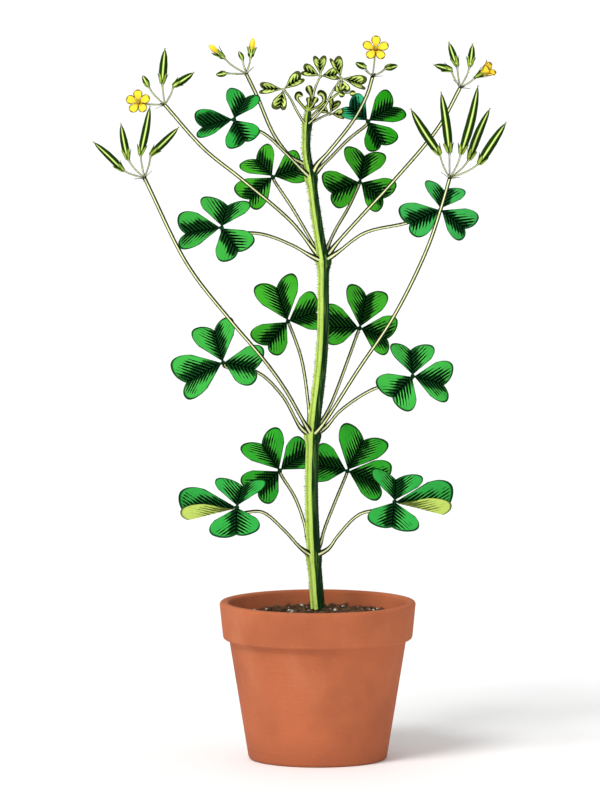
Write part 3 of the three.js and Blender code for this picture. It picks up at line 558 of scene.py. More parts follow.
class Finish:
    """A material, with short calls for its nodes, its paint and its relief."""

    def __init__(self, name, roughness=0.5, shine=0.02, sheen=0.0):
        self.material = bpy.data.materials.new(name)
        self.material.use_nodes = True
        self.tree = self.material.node_tree
        self.shader = self.tree.nodes["Principled BSDF"]
        looks = {"Roughness": roughness, "Specular IOR Level": shine, "Sheen Weight": sheen}
        for socket, value in looks.items():
            self.shader.inputs[socket].default_value = value

    def term(self, kind, inputs, output=0, **settings):
        return Term(self.tree, add_node(self.tree, kind, inputs, **settings).outputs[output])

    def mix(self, share, first, second):
        first, second = [c if isinstance(c, Term) else (*c, 1) for c in (first, second)]
        return self.term("Mix", {0: share, 6: first, 7: second}, 2, data_type="RGBA")

    def noise(self, scale, detail=2.0, stretch=(1, 1, 1), seed=0.0):
        """Noise in the object's own space, `scale` to the metre, with its axes stretched."""
        inputs = {"Vector": self.term("TexCoord", {}, "Object"), "Scale": stretch, "Location": (seed,) * 3}
        inputs = {"Vector": self.term("Mapping", inputs), "Scale": scale, "Detail": detail}
        return self.term("TexNoise", inputs, "Fac")

    def flat(self, layer):
        """The two flat coordinates of a layer."""
        parts = add_node(self.tree, "SeparateXYZ", {0: self.term("UVMap", {}, uv_map=layer)}).outputs
        return [Term(self.tree, part) for part in parts[:2]]

    def painted(self, colour, height, depth):
        """The material in its colour, with fine relief of so many metres."""
        bump = self.term("Bump", {"Height": height, "Distance": depth, "Strength": 1.0})
        for term, socket in ((colour, "Base Color"), (bump, "Normal")):
            self.tree.links.new(term.output, self.shader.inputs[socket])
        return self.material


def leaf_place(finish, settings):
    """Where on a leaflet: along and across its middle in millimetres, out to its end and to its sides from
    0 to 1, then some drift, and how far forward its side veins have run there."""
    x, y = finish.flat("flat")
    out, spread = finish.flat("place")
    across = abs(y - 0.5) * FLAT_SPAN
    drift = finish.noise(260, 3.0) - 0.5
    return x * FLAT_SPAN, across, out, abs(spread - 0.5) * 2.0, drift, across * settings.vein_slant


def leaf_upper(name, bright, dark, settings, scale=1.0, depth=1.0, rim_start=0.94):
    """Leaf face: plain lobes, dark strokes beside the side veins, and painted shade along the middle of one
    half and near the hub. Shaded leaflets get more painted shade and longer strokes.
    """
    finish = Finish(name, 0.6, 0.0)
    along, across, out, side, drift, slant = leaf_place(finish, settings)
    spread = finish.flat("place")[1]
    # How much painted shade the leaflet has, and how teal it is
    shade, teal = finish.flat("shade_and_teal")
    spacing = settings.vein_spacing / MM * scale
    course = along - slant + drift * 0.5
    # The dark strokes beside the side veins are vein lines, and partly painted shade: they run longer and
    # wider on leaflets with more painted shade
    reach = out * 0.6 + side + drift - shade * 0.2
    within = reach.rise(1.0, 0.8) * out.rise(0.97, 0.9)
    stroke = reach.rise(1.16, 0.5) * 0.48 - 0.045
    hatch = (abs(course.phase(spacing) - 0.3) - stroke).rise(0.05, -0.05) * out.rise(0.98, 0.9)
    # Painted highlight: bright strips on the raised ground between the vein furrows
    strips = course.stripes(spacing, 0.78, 0.2) * within * (0.6 * depth)
    crossing = (along + slant).stripes(spacing * 0.6, 0.5, 0.3)
    # Painted shade: a cross-hatched band along the middle of one half and a narrower one on both sides of the
    # middle, more cross-hatching on shaded leaflets, and darkness near the hub
    wide = across + drift * (4.0 * scale) - shade * (2.0 * scale)
    painted_shade_half = wide.rise(3.6 * scale, 1.8 * scale) * spread.rise(0.52, 0.48)
    band = painted_shade_half.most(wide.rise(1.5 * scale, 0.6 * scale)) * out.rise(1.0, 0.93)
    painted_hub_shade = out.rise(0.5, 0.05) * 0.92
    deep = painted_hub_shade.most(band * (crossing * 0.28 + 0.72), crossing * within * shade * 0.75)
    rib = across.rise(0.4, 0.2)
    rim = out.most(side).rise(rim_start, rim_start + 0.03) * 0.9
    darkness = hatch.most(deep * depth, rib, rim)
    # Soft darker patches, and the whole leaflet darker by its painted shade
    patches = finish.noise(110, seed=3.0).rise(0.35, 0.7).most(shade * 0.8)
    lively = finish.mix(patches, bright, deeper(bright, 0.84))
    lively = finish.mix(strips, lively, settings.strip_highlight_colour)
    lively = finish.mix(teal, lively, settings.teal_colour)
    return finish.painted(finish.mix(darkness, lively, dark), finish.noise(3200, 3.0) * 0.35 - hatch, 0.00006)


def leaf_under(name, settings):
    """Leaf back: pale, with thin dark lines along the raised veins and round the rim, and painted shade near
    the hub.
    """
    finish = Finish(name, 0.6)
    along, across, out, side, drift, slant = leaf_place(finish, settings)
    stroke = (out + drift).rise(1.0, 0.3) * 0.42 - 0.06
    apart = abs((along - slant + drift * 0.8).phase(settings.vein_spacing / MM * 1.3) - 0.5)
    line = (apart - stroke).rise(0.05, -0.05)
    rib = across.rise(0.6, 0.2)
    rim = out.most(side).rise(0.95, 0.985)
    # Painted shade near the hub
    painted_hub_shade = (out + drift).rise(0.5, 0.15)
    darkness = line.most(rib, rim, painted_hub_shade) * 0.8
    pale = settings.under_colour
    lively = finish.mix(finish.noise(120, seed=5.0), pale, deeper(pale, 0.82))
    colour = finish.mix(darkness, lively, settings.stalk_furrow_and_shade_colour)
    return finish.painted(colour, finish.noise(3000, 3.0) + line, 0.00005)


def stalk_finish(name, pale, dark, ribs=4, furrows=0.95, shady=None):
    """Juicy stalk: pale ridges, dark furrows as painted shade, and fine streaks. Its front has painted shade
    at both sides or, where `shady` gives the green that shows through, on its right."""
    finish = Finish(name)
    angle = finish.flat("flat")[1] * (2 * math.pi)
    drift = finish.noise(420, 3.0, (1, 1, 0.12)) - 0.5
    edge, start = (0.0, math.pi) if shady else (0.55, 0.0)
    # Dark furrows: painted shade, in the stem's modelled grooves and as of grooves on the plain stalks
    furrow = ((angle * ribs + start).cosine() + drift * 0.6).rise(edge, edge - 0.5)
    streaks = finish.noise(1500, 2.0, (1, 1, 0.05), seed=2.0).rise(0.45, 0.75)
    lively = finish.mix(finish.noise(60, seed=7.0), pale, deeper(pale, 0.85))
    if shady:
        # Painted shade on the right of the front, with green showing through in streaks
        painted_right_shade = (drift * 0.5 - angle.cosine()).rise(0.0, 0.12) * angle.sine().rise(-0.25, 0.05)
        shade = painted_right_shade * (streaks * -0.35 + 0.98)
        lively = finish.mix(shade, lively, shady)
    else:
        # Painted shade at both sides of the front
        shade = abs(angle.cosine()).rise(0.56, 0.72) * angle.sine().rise(-0.2, 0.0)
    darkness = (furrow * furrows).most(streaks * 0.25, shade)
    return finish.painted(finish.mix(darkness, lively, dark), finish.noise(2400, 3.0, (1, 1, 0.3)), 0.00005)


def plain_finish(name, colour, second, scale, roughness, depth, shine=0.5):
    """Two close colours in soft patches, with fine grain."""
    finish = Finish(name, roughness, shine)
    patches = finish.noise(scale, 4.0).rise(0.32, 0.68)
    return finish.painted(finish.mix(patches, colour, second), finish.noise(scale * 6, 4.0, seed=1.0), depth)


def hair_finish(name, settings):
    return plain_finish(name, settings.hair_colour, settings.hair_colour, 400, 0.6, 0.00001)


def pod_finish(name, settings):
    """Seed pod: a pale ridge between dark furrows, as painted highlight and painted shade, painted shade on
    its right front, a thin dark left and a dark point.
    """
    finish = Finish(name)
    along, around = finish.flat("place")
    angle = around * (2 * math.pi)
    wave = (angle * POD_RIDGES).sine()
    drift = finish.noise(900, 3.0, (1, 1, 0.3)) - 0.5
    leftward = angle.cosine() + drift * 0.5
    # Painted shade on the right of the front
    painted_right_shade = leftward.rise(-0.26, -0.4) * angle.sine().rise(-0.25, 0.05)
    # Painted shade in the furrows between the ridges
    furrow = (wave + drift * 1.2).rise(0.3, -0.3)
    darkness = (furrow.most(painted_right_shade, leftward.rise(0.66, 0.8)) * 0.95).most(along.rise(0.85, 1.0) * 0.8)
    # Painted highlight along the ridges
    body = finish.mix(wave.rise(0.4, 0.95), settings.pod_colour, settings.ridge_highlight_colour)
    colour = finish.mix(darkness, body, settings.furrow_and_shade_colour)
    return finish.painted(colour, finish.noise(3000, 3.0), 0.00004)


def sepal_finish(name, settings):
    """Sepal: dull green with a dark rim."""
    finish = Finish(name)
    patches = finish.noise(900, 3.0).rise(0.35, 0.65)
    body = finish.mix(patches, settings.sepal_colour, deeper(settings.sepal_colour, 0.75))
    rim = abs(finish.flat("flat")[1] - 0.5).rise(0.24, 0.38) * 0.9
    return finish.painted(finish.mix(rim, body, settings.furrow_and_shade_colour), finish.noise(3000, 3.0), 0.00004)


def petal_finish(name, settings):
    """Silky petal: clear yellow, deeper at the throat, with faint lines along it and a dark rim."""
    finish = Finish(name, shine=0.1, sheen=0.1)
    out, side = finish.flat("place")
    lines = (side * 60.0).sine().rise(0.3, 1.0) * out.rise(0.95, 0.3)
    body = finish.mix(out.rise(0.26, 0.05), settings.petal_colour, settings.throat_colour)
    body = finish.mix(lines * 0.12, body, settings.throat_colour)
    rim = out.rise(0.86, 0.92).most((abs(side - 0.5) * 2.0).rise(0.7, 0.84)) * 0.85
    colour = finish.mix(rim, body, settings.rim_colour)
    return finish.painted(colour, finish.noise(2500, 3.0) + lines, 0.00003)


def clay_finish(name, settings):
    """Fired clay: warm body with pale bloom, darker towards the foot, and fine turning lines."""
    finish = Finish(name, 0.86, 0.25)
    clay, chalk = settings.clay_colour, settings.bloom_colour
    height = finish.term("SeparateXYZ", {0: finish.term("TexCoord", {}, "Object")}, 2)
    clouds = finish.noise(38, 6.0).rise(0.4, 0.75)
    body = finish.mix(clouds, clay, deeper(clay, 0.78))
    bloom = finish.noise(85, 8.0, (1, 1, 0.55), seed=8.0).rise(0.48, 0.85) * height.rise(0.012, 0.04)
    body = finish.mix(bloom * 0.16, body, chalk)
    # Darker towards the foot
    darker_foot = (height + clouds * 0.006).rise(0.014, 0.0)
    body = finish.mix(darker_foot * 0.45, body, deeper(clay, 0.5))
    specks = finish.noise(1400, 2.0, seed=9.0).rise(0.72, 0.78)
    relief = finish.noise(900, 2.0, (0.03, 0.03, 1), seed=6.0) * 0.7 + finish.noise(2600, 5.0)
    return finish.painted(finish.mix(specks * 0.35, body, chalk), relief, 0.00018)


def heart_reach(share):
    """How far a leaflet reaches at a share of its spread: a notch, a round lobe and a straight flank."""
    lobe = 0.55
    notch = 1 - 0.2 * (1 - share / lobe) ** 2
    flank = 1 - 0.4 * (np.maximum(share - lobe, 0) / (1 - lobe)) ** 2.2
    return np.where(share < lobe, notch, flank)


def fan(reach, width, rays, rings):
    """A flat heart-shaped blade: along and across of each point, its share of the spread and of the way."""
    share = np.linspace(-1, 1, rays)
    out = np.linspace(0.03, 1, rings)[:, None]
    edge = heart_reach(np.abs(share))
    angle = np.radians(LEAFLET_SPREAD) * share
    wide = edge * np.abs(np.sin(angle))
    along, across = reach * edge * out * np.cos(angle), out * wide * width / 2 / wide.max()
    return np.broadcast_arrays(along, across, share, out)


def laid(along, across, lift, foot, way, face):
    """Points given along, across and out of a blade, in the plant's space."""
    return foot + layers(along, across, lift) @ np.array([way, np.cross(face, way), face])


def add_leaflet(shape, foot, way, face, leaflet, fold, settings, rng):
    """One heart-shaped leaflet, from its foot near the hub."""
    reach = leaflet.reach
    grid = GROWN_GRID if reach > LONGEST_YOUNG else YOUNG_GRID
    along, across, share, out = fan(reach, leaflet.width, *grid)
    hand = np.sign(share)
    dome = settings.doming / MM * out**2 * np.sin(np.pi * np.abs(share))
    wave = np.sin(share * rng.uniform(4, 7) + rng.uniform(0, 6)) * rng.uniform(0.1, 0.3) * out**3
    lift = (dome + wave) * reach / COMMON_REACH - LEAFLET_DROOP * along**2 / reach
    slope = math.radians(fold)
    beside, high = hand * across * math.cos(slope), lift + across * math.sin(slope)
    if leaflet.folded:
        turn = math.radians(FOLDED_TURN)
        angle = turn * np.minimum(1, across / FOLDED_BEND)
        beyond = np.maximum(0, across - FOLDED_BEND)
        inward = FOLDED_BEND / turn * np.sin(angle) + beyond * math.cos(turn)
        upward = FOLDED_BEND / turn * (1 - np.cos(angle)) + beyond * math.sin(turn)
        beside = np.where(hand == leaflet.folded, hand * inward, beside)
        high = np.where(hand == leaflet.folded, lift + upward, high)
    course = (along - across * settings.vein_slant) * MM / settings.vein_spacing
    groove = hill(course % 1, 0.3, 0.2) * smooth(0.2, 1.2, across) * smooth(0.97, 0.75, out)
    rib = hill(across, 0, 0.32) * smooth(1, 0.7, out) * smooth(0, 0.2, out)
    relief = -(settings.vein_depth * groove + settings.rib_depth * rib) / MM
    thickness = settings.thickness / MM * (1 - 0.55 * smooth(0.9, 1, np.maximum(out, np.abs(share))))
    flat = layers(along / FLAT_SPAN, 0.5 + hand * across / FLAT_SPAN, out, 0.5 + share / 2,
                  leaflet.shade, leaflet.teal)
    shape.blade(laid(along, beside, high, foot, way, face), thickness, relief, flat)


def add_leaf(shape, leaf, fold, settings, rng, hub_radius, teal=0.0):
    """The three leaflets of a leaf, at least so teal, the short neck of each and the hub."""
    face = seen_at(leaf.turn, leaf.tilt)
    right = unit(np.cross((0, 0, 1), face))
    hub = point(leaf.hub)
    knob = hub - face * HUB_SINK
    for leaflet in (Leaflet(*values) for values in leaf.leaflets):
        way = between(right, np.cross(face, right), leaflet.angle)
        looks = turned(face, way, -FOLDED_TWIST * leaflet.folded)
        leaflet = leaflet._replace(teal=max(teal, leaflet.teal))
        add_leaflet(shape, hub + way * LEAFLET_START, way, looks, leaflet, fold, settings, rng)
        neck = smooth_line([knob, hub + way * 0.9 - face * 0.1, hub + way * 2.2 - face * 0.12], 0.3)
        shape.tube(neck, np.linspace(hub_radius * 0.75, 0.16, len(neck)), 10, HUB)
    share = np.linspace(-1, 1, 9)
    bulge = np.sqrt(np.maximum(0.02, 1 - share**2))
    shape.tube(knob + face * hub_radius * share[:, None], hub_radius * bulge, 14, HUB)


def stalk_radius(line, middle, base, end):
    """A stalk's radius: a swollen base, an even middle and a slightly swollen end."""
    along = lengths(line)
    swell = (base - middle) * smooth(11, 2.5, along)
    return middle + swell + (end - middle) * smooth(along[-1] - 3, along[-1], along)


def build_stalk(leaf, materials, rng):
    """A leaf's stalk, from the joint to the back of its hub."""
    ends = [leaf.hub - seen_at(leaf.turn, leaf.tilt) * behind for behind in (STALK_BEND, 0.7)]
    line = smooth_line([JOINTS[leaf.joint].at, *leaf.stalk, *ends], 0.8)
    radius = stalk_radius(line, *LEAF_STALK)
    shape = Shape()
    shape.tube(line, radius, 14)
    shape.hairs(line, radius, 0.5, 0.6, 1, rng)
    return shape.build(f"{leaf.name}_petiole", materials)


def add_lance(shape, foot, way, out, length, width, curl, finish):
    """A thin pointed scale from a foot, leaning along way and curling out at its point."""
    share = np.linspace(0, 1, 9)[:, None]
    across = np.linspace(-1, 1, 5)
    half = width / 2 * np.sin(np.pi * (share * 0.82 + 0.16)) ** 0.8
    lift = curl * length * share**2 - 0.25 * half * across**2
    axes = np.array([way, unit(np.cross(way, out)), out])
    middle = foot + layers(length * share, across * half, lift) @ axes
    shape.blade(middle, SCALE_THICKNESS, 0, layers(share, 0.5 + across / 2), finish, finish)


def add_pod(shape, pod, rng):
    """A ridged pod or bud drawn out to a point, in a cup of five sepals."""
    foot, tip = point(pod.foot), point(pod.tip)
    length, way = np.linalg.norm(tip - foot), unit(tip - foot)
    is_bud = length < LONGEST_BUD
    bow = unit(np.cross(way, (0, 1, 0.2))) * rng.uniform(-0.025, 0.025) * length
    share = np.linspace(0, 1, 25 if is_bud else 49)[:, None]
    line = foot + way * length * share + bow * np.sin(np.pi * share)
    depth = (0.06 if is_bud else 0.17) * smooth(0, 0.12, share) * smooth(1, 0.9, share)
    shape.tube(line, pod.radius * np.interp(share[:, 0], *POD_OUTLINE), 40, POD,
               lambda angle, along: 1 + depth * np.sin(POD_RIDGES * angle), (0, 1 / length))
    sepal = min(3.8, length * (0.45 if is_bud and not pod.petals else 0.72)) + (1.6 if pod.petals else 0)
    for out in ring_of(way, 5, 36):
        start = foot + out * pod.radius * 0.6 + way * 0.1
        add_lance(shape, start, unit(way + out * 0.24), out, sepal, pod.radius * 1.05, 0.08, SEPAL)
    if not is_bud:
        for out in ring_of(way, 5, 0):
            knots = [tip - way * 0.7, tip + way * 0.1 + out * 0.12, tip + (way + out) * 0.5]
            style = smooth_line(knots, 0.25)
            shape.tube(style, np.linspace(0.14, 0.06, len(style)), 6, SEPAL)


def add_stalklet(shape, start, end):
    """A thin curved stalklet, a little swollen under what it carries."""
    line = smooth_line([start, start + (end - start) * (0.67, 0.67, 0.55), end], 0.4)
    along = lengths(line)
    shape.tube(line, STALKLET_RADIUS + 0.25 * smooth(along[-1] - 1.6, along[-1], along), 10, STALK)
    return line


def build_spray(spray, materials, rng):
    """The green parts of a spray: stalk, bracts, stalklets, pods, buds and sepals."""
    shape = Shape()
    line = smooth_line([JOINTS[spray.joint].at, *spray.stalk, spray.root], 1.0)
    radius = stalk_radius(line, *SPRAY_STALK)
    shape.tube(line, radius, 14, STALK)
    shape.hairs(line, radius, 0.8, 0.6, HAIR, rng)
    root = point(spray.root)
    up = unit(line[-1] - line[-3])
    shape.lumps([root], [0.8], rng, STALK, 0.08)
    for out in ring_of(up, 4, 22):
        add_lance(shape, root + out * 0.4, unit(up * 0.5 + out), out, 3.0, 0.8, 0.2, HAIR)
    for pod in spray.pods:
        way = unit(point(pod.tip) - pod.foot)
        stalklet = add_stalklet(shape, root, pod.foot + way * 0.4)
        shape.hairs(stalklet, STALKLET_RADIUS, 0.7, 0.45, HAIR, rng)
        add_pod(shape, pod, rng)
    if spray.flower:
        face = unit(point(spray.flower.facing))
        seat = spray.flower.at - face * SEAT_BACK
        add_stalklet(shape, root, seat)
        shape.lumps([seat], [0.75], rng, STALK, 0.05)
        lean, length = (spray.flower.open + 20, 2.4) if spray.flower.open > WIDE_OPEN else (18, 4.6)
        for out in ring_of(face, 5, 36):
            add_lance(shape, seat + out * 0.5, between(face, out, lean), unit(out - face * 0.3), length, 1.1,
                      0.08, SEPAL)
    return shape.build(f"{spray.name}_pods", materials)


def add_petal(shape, foot, way, face, length, curl, turn):
    """One petal: a narrow claw that widens into a round end and curls outward."""
    steps = np.sin(np.linspace(0, np.pi / 2, 29))[:, None]
    across = np.sin(np.linspace(-np.pi / 2, np.pi / 2, 15))
    disc = np.sqrt(np.maximum(0.002, 1 - ((steps - PETAL_MIDDLE) / (1 - PETAL_MIDDLE)) ** 2))
    claw = (0.34 * smooth(0.8, 0.5, steps) + 0.14) * (steps < PETAL_MIDDLE)
    beside = across * PETAL_WIDTH / 2 * np.maximum(disc, claw)
    lift = 0.5 * np.sin(np.pi * steps / 2) - curl * length * steps**2 + 0.2 * beside**2 / PETAL_WIDTH
    lift = lift + 0.08 * np.sin(across * 6 + turn) * steps**3
    flat = layers(length * steps / PETAL_SPAN, 0.5 + beside / PETAL_SPAN, steps, 0.5 + across / 2)
    edge = np.maximum(smooth(0.85, 1, steps), smooth(0.8, 1, np.abs(across)))
    relief = -0.03 * hill(across, 0, 0.12) * (1 - steps)
    middle = laid(length * steps, beside, lift, foot, way, face)
    shape.blade(middle, PETAL_THICKNESS * (1 - 0.5 * edge), relief, flat, PETAL, PETAL)


def build_flower(spray, materials, rng):
    """An open flower: five petals, a short throat, ten stamens and five styles."""
    flower = spray.flower
    shape = Shape()
    face, centre = unit(point(flower.facing)), point(flower.at)
    side = unit(np.cross(face, (1, 0, 0)))
    curl, lean = (0.08, flower.open) if flower.open > WIDE_OPEN else (0.14, flower.open * 0.65)
    for i in range(5):
        out = turned(side, face, 72 * i + rng.uniform(-3, 3))
        way, looks = between(face, out, lean), between(face, out, lean - 90)
        add_petal(shape, centre + face * 0.4 + out * 0.35, way, looks, flower.petal, curl, i)
    throat = np.linspace(centre - face * 0.5, centre + face * 0.9, 8)
    shape.tube(throat, np.linspace(0.5, 0.8, 8), 20, PETAL)

    def add_thread(out, radius, *knots):
        """A thread through knots that are each given by how high and how wide they stand. Gives its top."""
        line = smooth_line([centre + face * high + out * wide for high, wide in knots], 0.3)
        shape.tube(line, radius, 6, FILAMENT)
        return line[-1]

    for i, out in enumerate(ring_of(face, 10, 0)):
        end = (2.6, 0.75) if i % 2 else (2.05, 0.95)
        shape.lumps([add_thread(out, 0.06, (0.7, 0.35), (1.5, 0.5), end)], [0.22], rng, ANTHER, 0.1)
    for out in ring_of(face, 5, 18):
        add_thread(out, 0.08, (0.6, 0), (1.6, 0.15), (2.2, 0.4))
    return shape.build(f"{spray.name}_petals", materials)


def build_bud_petals(name, pod, material):
    """The yellow tip of an opening bud: five petals wound round each other."""
    way = unit(point(pod.tip) - pod.foot)
    line = np.linspace(pod.tip - way * 1.2, pod.tip + way * (pod.petals + 0.2), 30)
    radius = 1.1 * np.interp(np.linspace(0, 1, 30), *BUD_OUTLINE)
    shape = Shape()
    shape.tube(line, radius, 40, PETAL, lambda angle, along: 1 + 0.1 * np.cos(5 * angle - along * 0.9),
               (0.3, 0.6 / (pod.petals + 1.4)))
    return shape.build(name, [material])


def stem_line():
    """The stem's middle line from its foot in the soil to its tip, and its radius at each point."""
    stops = [np.zeros(3), *(point(joint.at) for joint in JOINTS.values()), point(STEM_TIP)]
    line = [np.linspace(STEM_FOOT, (0, 0, -0.7), 20)]
    radius = [np.full(20, STEM_RADII[0])]
    for low, high, bow, start, end in zip(stops, stops[1:], STEM_BOWS, STEM_RADII, STEM_RADII[1:]):
        line.append(smooth_line([low, (low + high) / 2 + bow, high], 0.6)[:-1])
        radius.append(np.linspace(start, end, len(line[-1])))
    line, radius = np.concatenate([*line, stops[-1:]]), np.concatenate([*radius, STEM_RADII[-1:]])
    for joint in JOINTS.values():
        radius += (joint.swelling - radius) * hill(np.linalg.norm(line - joint.at, axis=1), 0, 2.4)
    return line, radius


def build_stem(materials, rng):
    """The ribbed stem with its swollen joints and hairs, and the curled sprouts at its tip."""
    line, radius = stem_line()
    shape = Shape()
    shape.tube(line, radius, 56, RIBBED,
               lambda angle, along: 1 - 0.05 * np.cos(7 * angle) + 0.02 * np.cos(3 * angle + along * 0.02))
    above = line[:, 2] > 0.5
    for spacing, length in ((0.075, 0.95), (0.2, 1.5)):
        shape.hairs(line[above], radius[above], spacing, length, FINE_HAIR, rng)
    shape.lumps([point(STEM_TIP)], [1.5], rng, RIBBED, 0.08, 0.2)
    for sprout, thick in SPROUTS:
        course = smooth_line(sprout, 0.25)
        share = np.linspace(0, 1, len(course))
        fat = 0.5 + (thick - 0.5) * smooth(0.45, 0.8, share)
        fat *= np.sqrt(np.maximum(0.03, 1 - (np.maximum(0, share - 0.86) / 0.14) ** 2))
        shape.tube(course, fat, 24, SPROUT, lambda angle, along: 1 + 0.08 * np.sin(4 * angle))
        shape.hairs(course, fat, 0.16, 0.5, FINE_HAIR, rng)
    stalk = smooth_line(ROUND_BUD_STALK, 0.4)
    shape.tube(stalk, 0.42, 14, SPROUT)
    for bud in ROUND_BUDS:
        course = np.linspace(stalk[-1], bud + unit(bud - stalk[-1]) * 1.12, 30)
        gap = np.linalg.norm(course - bud, axis=1)
        shape.tube(course, np.sqrt(np.maximum(0.07, 1.3 - gap**2)), 24, SPROUT)
    shape.hairs(stalk, 0.4, 0.3, 0.5, FINE_HAIR, rng)
    return shape.build("stem", materials)


def rounded(outline):
    """Radius and height of the points of a turned outline between its two ends. Each of its corners has a
    radius, a height and a rounding."""
    line = []
    t = np.linspace(0, 1, 7)[:, None]
    for before, (*corner, size), after in zip(outline, outline[1:], outline[2:]):
        ways = [point(other[:2]) - corner for other in (before, after)]
        size = min(size, *(np.linalg.norm(way) / 2.1 for way in ways))
        start, end = (corner + unit(way) * size for way in ways)
        line.append((1 - t) ** 2 * start + 2 * t * (1 - t) * point(corner) + t * t * end)
    return np.concatenate(line).T


def build_pot(settings, material):
    """The clay pot: a thrown wall with a rim band, and drain holes in its floor."""
    top, foot = settings.top_radius / MM, settings.foot_radius / MM
    height, wall, floor = POT_BOX[1].z / MM, settings.wall / MM, settings.floor / MM
    band, band_foot = top - settings.band_step / MM, height - settings.band_height / MM

    def inside(at):
        return foot - wall + (top - foot) * at / height

    hollow = 0.9
    outline = ((0, hollow, 0), (foot - 5, hollow, 0.6), (foot - 4, 0, 0.6), (foot - 0.2, 0, 1.3),
               (band - 1.6, band_foot, 1.0), (band + 0.6, band_foot + 0.4, 1.4),
               (top - 0.5, height - 0.8, 1.2), (top - 1.0, height, 1.2), (inside(height), height, 1.6),
               (inside(floor + 3), floor + 3, 2.5), (inside(floor) - 3, floor, 2.0), (0, floor, 0))
    radius, at = rounded(outline)[..., None]
    angle = np.linspace(0, 2 * np.pi, 160, endpoint=False)
    sway = 0.0022 * np.sin(2 * angle + 0.7) + 0.0012 * np.sin(5 * angle + at * 0.09)
    radius = radius * (1 + sway * smooth(2, 12, at) + 0.0012 * np.sin(at * 2.1 + angle))
    shape = Shape()
    shape.rings(layers(radius * np.cos(angle), radius * np.sin(angle), at), (0, 0, hollow), (0, 0, floor))
    pot = shape.build("clay_pot", [material], 0)
    for i in range(3):
        angle = 2 * math.pi * (i + 0.25) / 3
        bpy.ops.mesh.primitive_cylinder_add(
            vertices=40, radius=settings.drain_radius, depth=0.03,
            location=(DRAIN_RING * math.cos(angle), DRAIN_RING * math.sin(angle), 0))
        drill = bpy.context.object
        cut = pot.modifiers.new("drain", "BOOLEAN")
        cut.object, cut.operation, cut.solver = drill, "DIFFERENCE", "EXACT"
        bpy.context.view_layer.objects.active = pot
        bpy.ops.object.modifier_apply(modifier=cut.name)
        bpy.data.objects.remove(drill)
    return pot


def build_soil(settings, materials, rng):
    """The soil: a crumbly top that fills the pot below its rim, on a plain body, and loose crumbs."""
    edge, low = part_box("soil")[1].x / MM, settings.edge_height / MM
    waves = [(rng.uniform(0.05, 0.3) / k, k * rng.normal() * 0.5, k * rng.normal() * 0.5, rng.uniform(0, 6))
             for k in (0.4, 0.6, 0.9, 1.4, 2.2, 3.1, 4.0, 5.2)]

    def height(x, y):
        """Height of the soil at a place: raised towards the stem, with soft lumps."""
        lumps = sum(tall * np.sin(a * x + b * y + start) for tall, a, b, start in waves)
        return low + (SOIL_TOP - low - 0.4) * smooth(1.0, 0.1, np.hypot(x, y) / edge) + lumps

    out = np.linspace(0.02, 1, 56)[:, None]
    angle = np.linspace(0, 2 * np.pi, 150, endpoint=False)
    x, y = edge * out * np.cos(angle), edge * out * np.sin(angle)
    z = np.minimum(height(x, y) + rng.normal(size=x.shape) * 0.16 * (out < 0.99), SOIL_TOP)
    top = layers(x, y, z)[::-1]
    below = top[:1] * (0.7, 0.7, 0) + (0, 0, SOIL_FOOT)
    shape = Shape()
    shape.rings(np.concatenate([below, top]), (0, 0, SOIL_FOOT), (0, 0, z[0].mean()))
    for count, finish, small, large, rough in SOIL_GRAINS:
        far = (edge - GRAIN_MARGIN) * np.sqrt(rng.uniform(0.006, 1, count))
        around = rng.uniform(0, 2 * np.pi, count)
        x, y = far * np.cos(around), far * np.sin(around)
        z = np.minimum(height(x, y) + 0.1, SOIL_TOP - 0.2)
        sizes = small + (large - small) * rng.uniform(0, 1, count) ** 2.5
        shape.lumps(np.stack([x, y, z], axis=1), sizes, rng, finish, rough)
    return shape.build("soil_top", materials, 0)


def colour_setting(name, description, *levels):
    return FloatVectorProperty(name=name, description=description, subtype="COLOR", size=3, min=0, max=1,
                               default=tint(*levels))


def length_setting(name, description, metres):
    return FloatProperty(name=name, description=description, default=metres, min=0, unit="LENGTH",
                         precision=5)


class PotSettings(bpy.types.PropertyGroup):
    """Sizes and colours of the pot."""

    top_radius: length_setting("Top radius", "Outer radius of the rim", POT_BOX[1].x)
    foot_radius: length_setting("Foot radius", "Outer radius of the foot", 0.0255)
    wall: length_setting("Wall", "Thickness of the wall", 0.0036)
    floor: length_setting("Floor", "Thickness of the floor", 0.005)
    band_height: length_setting("Rim band height", "Height of the thick band under the rim", 0.014)
    band_step: length_setting("Rim band step", "How far the band stands out", 0.0024)
    drain_radius: length_setting("Drain radius", "Radius of each drain hole", 0.003)
    clay_colour: colour_setting("Clay", "Colour of the fired clay", 178, 98, 62)
    bloom_colour: colour_setting("Bloom", "Colour of the chalky bloom", 206, 160, 130)


class SoilSettings(bpy.types.PropertyGroup):
    """Sizes and colours of the soil."""

    edge_height: length_setting("Edge height", "Height of the soil at the pot's wall", 0.0523)
    soil_colour: colour_setting("Soil", "Colour of the moist crumbs", 58, 40, 29)
    dry_colour: colour_setting("Dry soil", "Colour of the drier crumbs", 104, 76, 55)
    grit_colour: colour_setting("Grit", "Colour of the pale grit", 214, 208, 194)
    bark_colour: colour_setting("Bark", "Colour of the bark chips", 122, 78, 44)


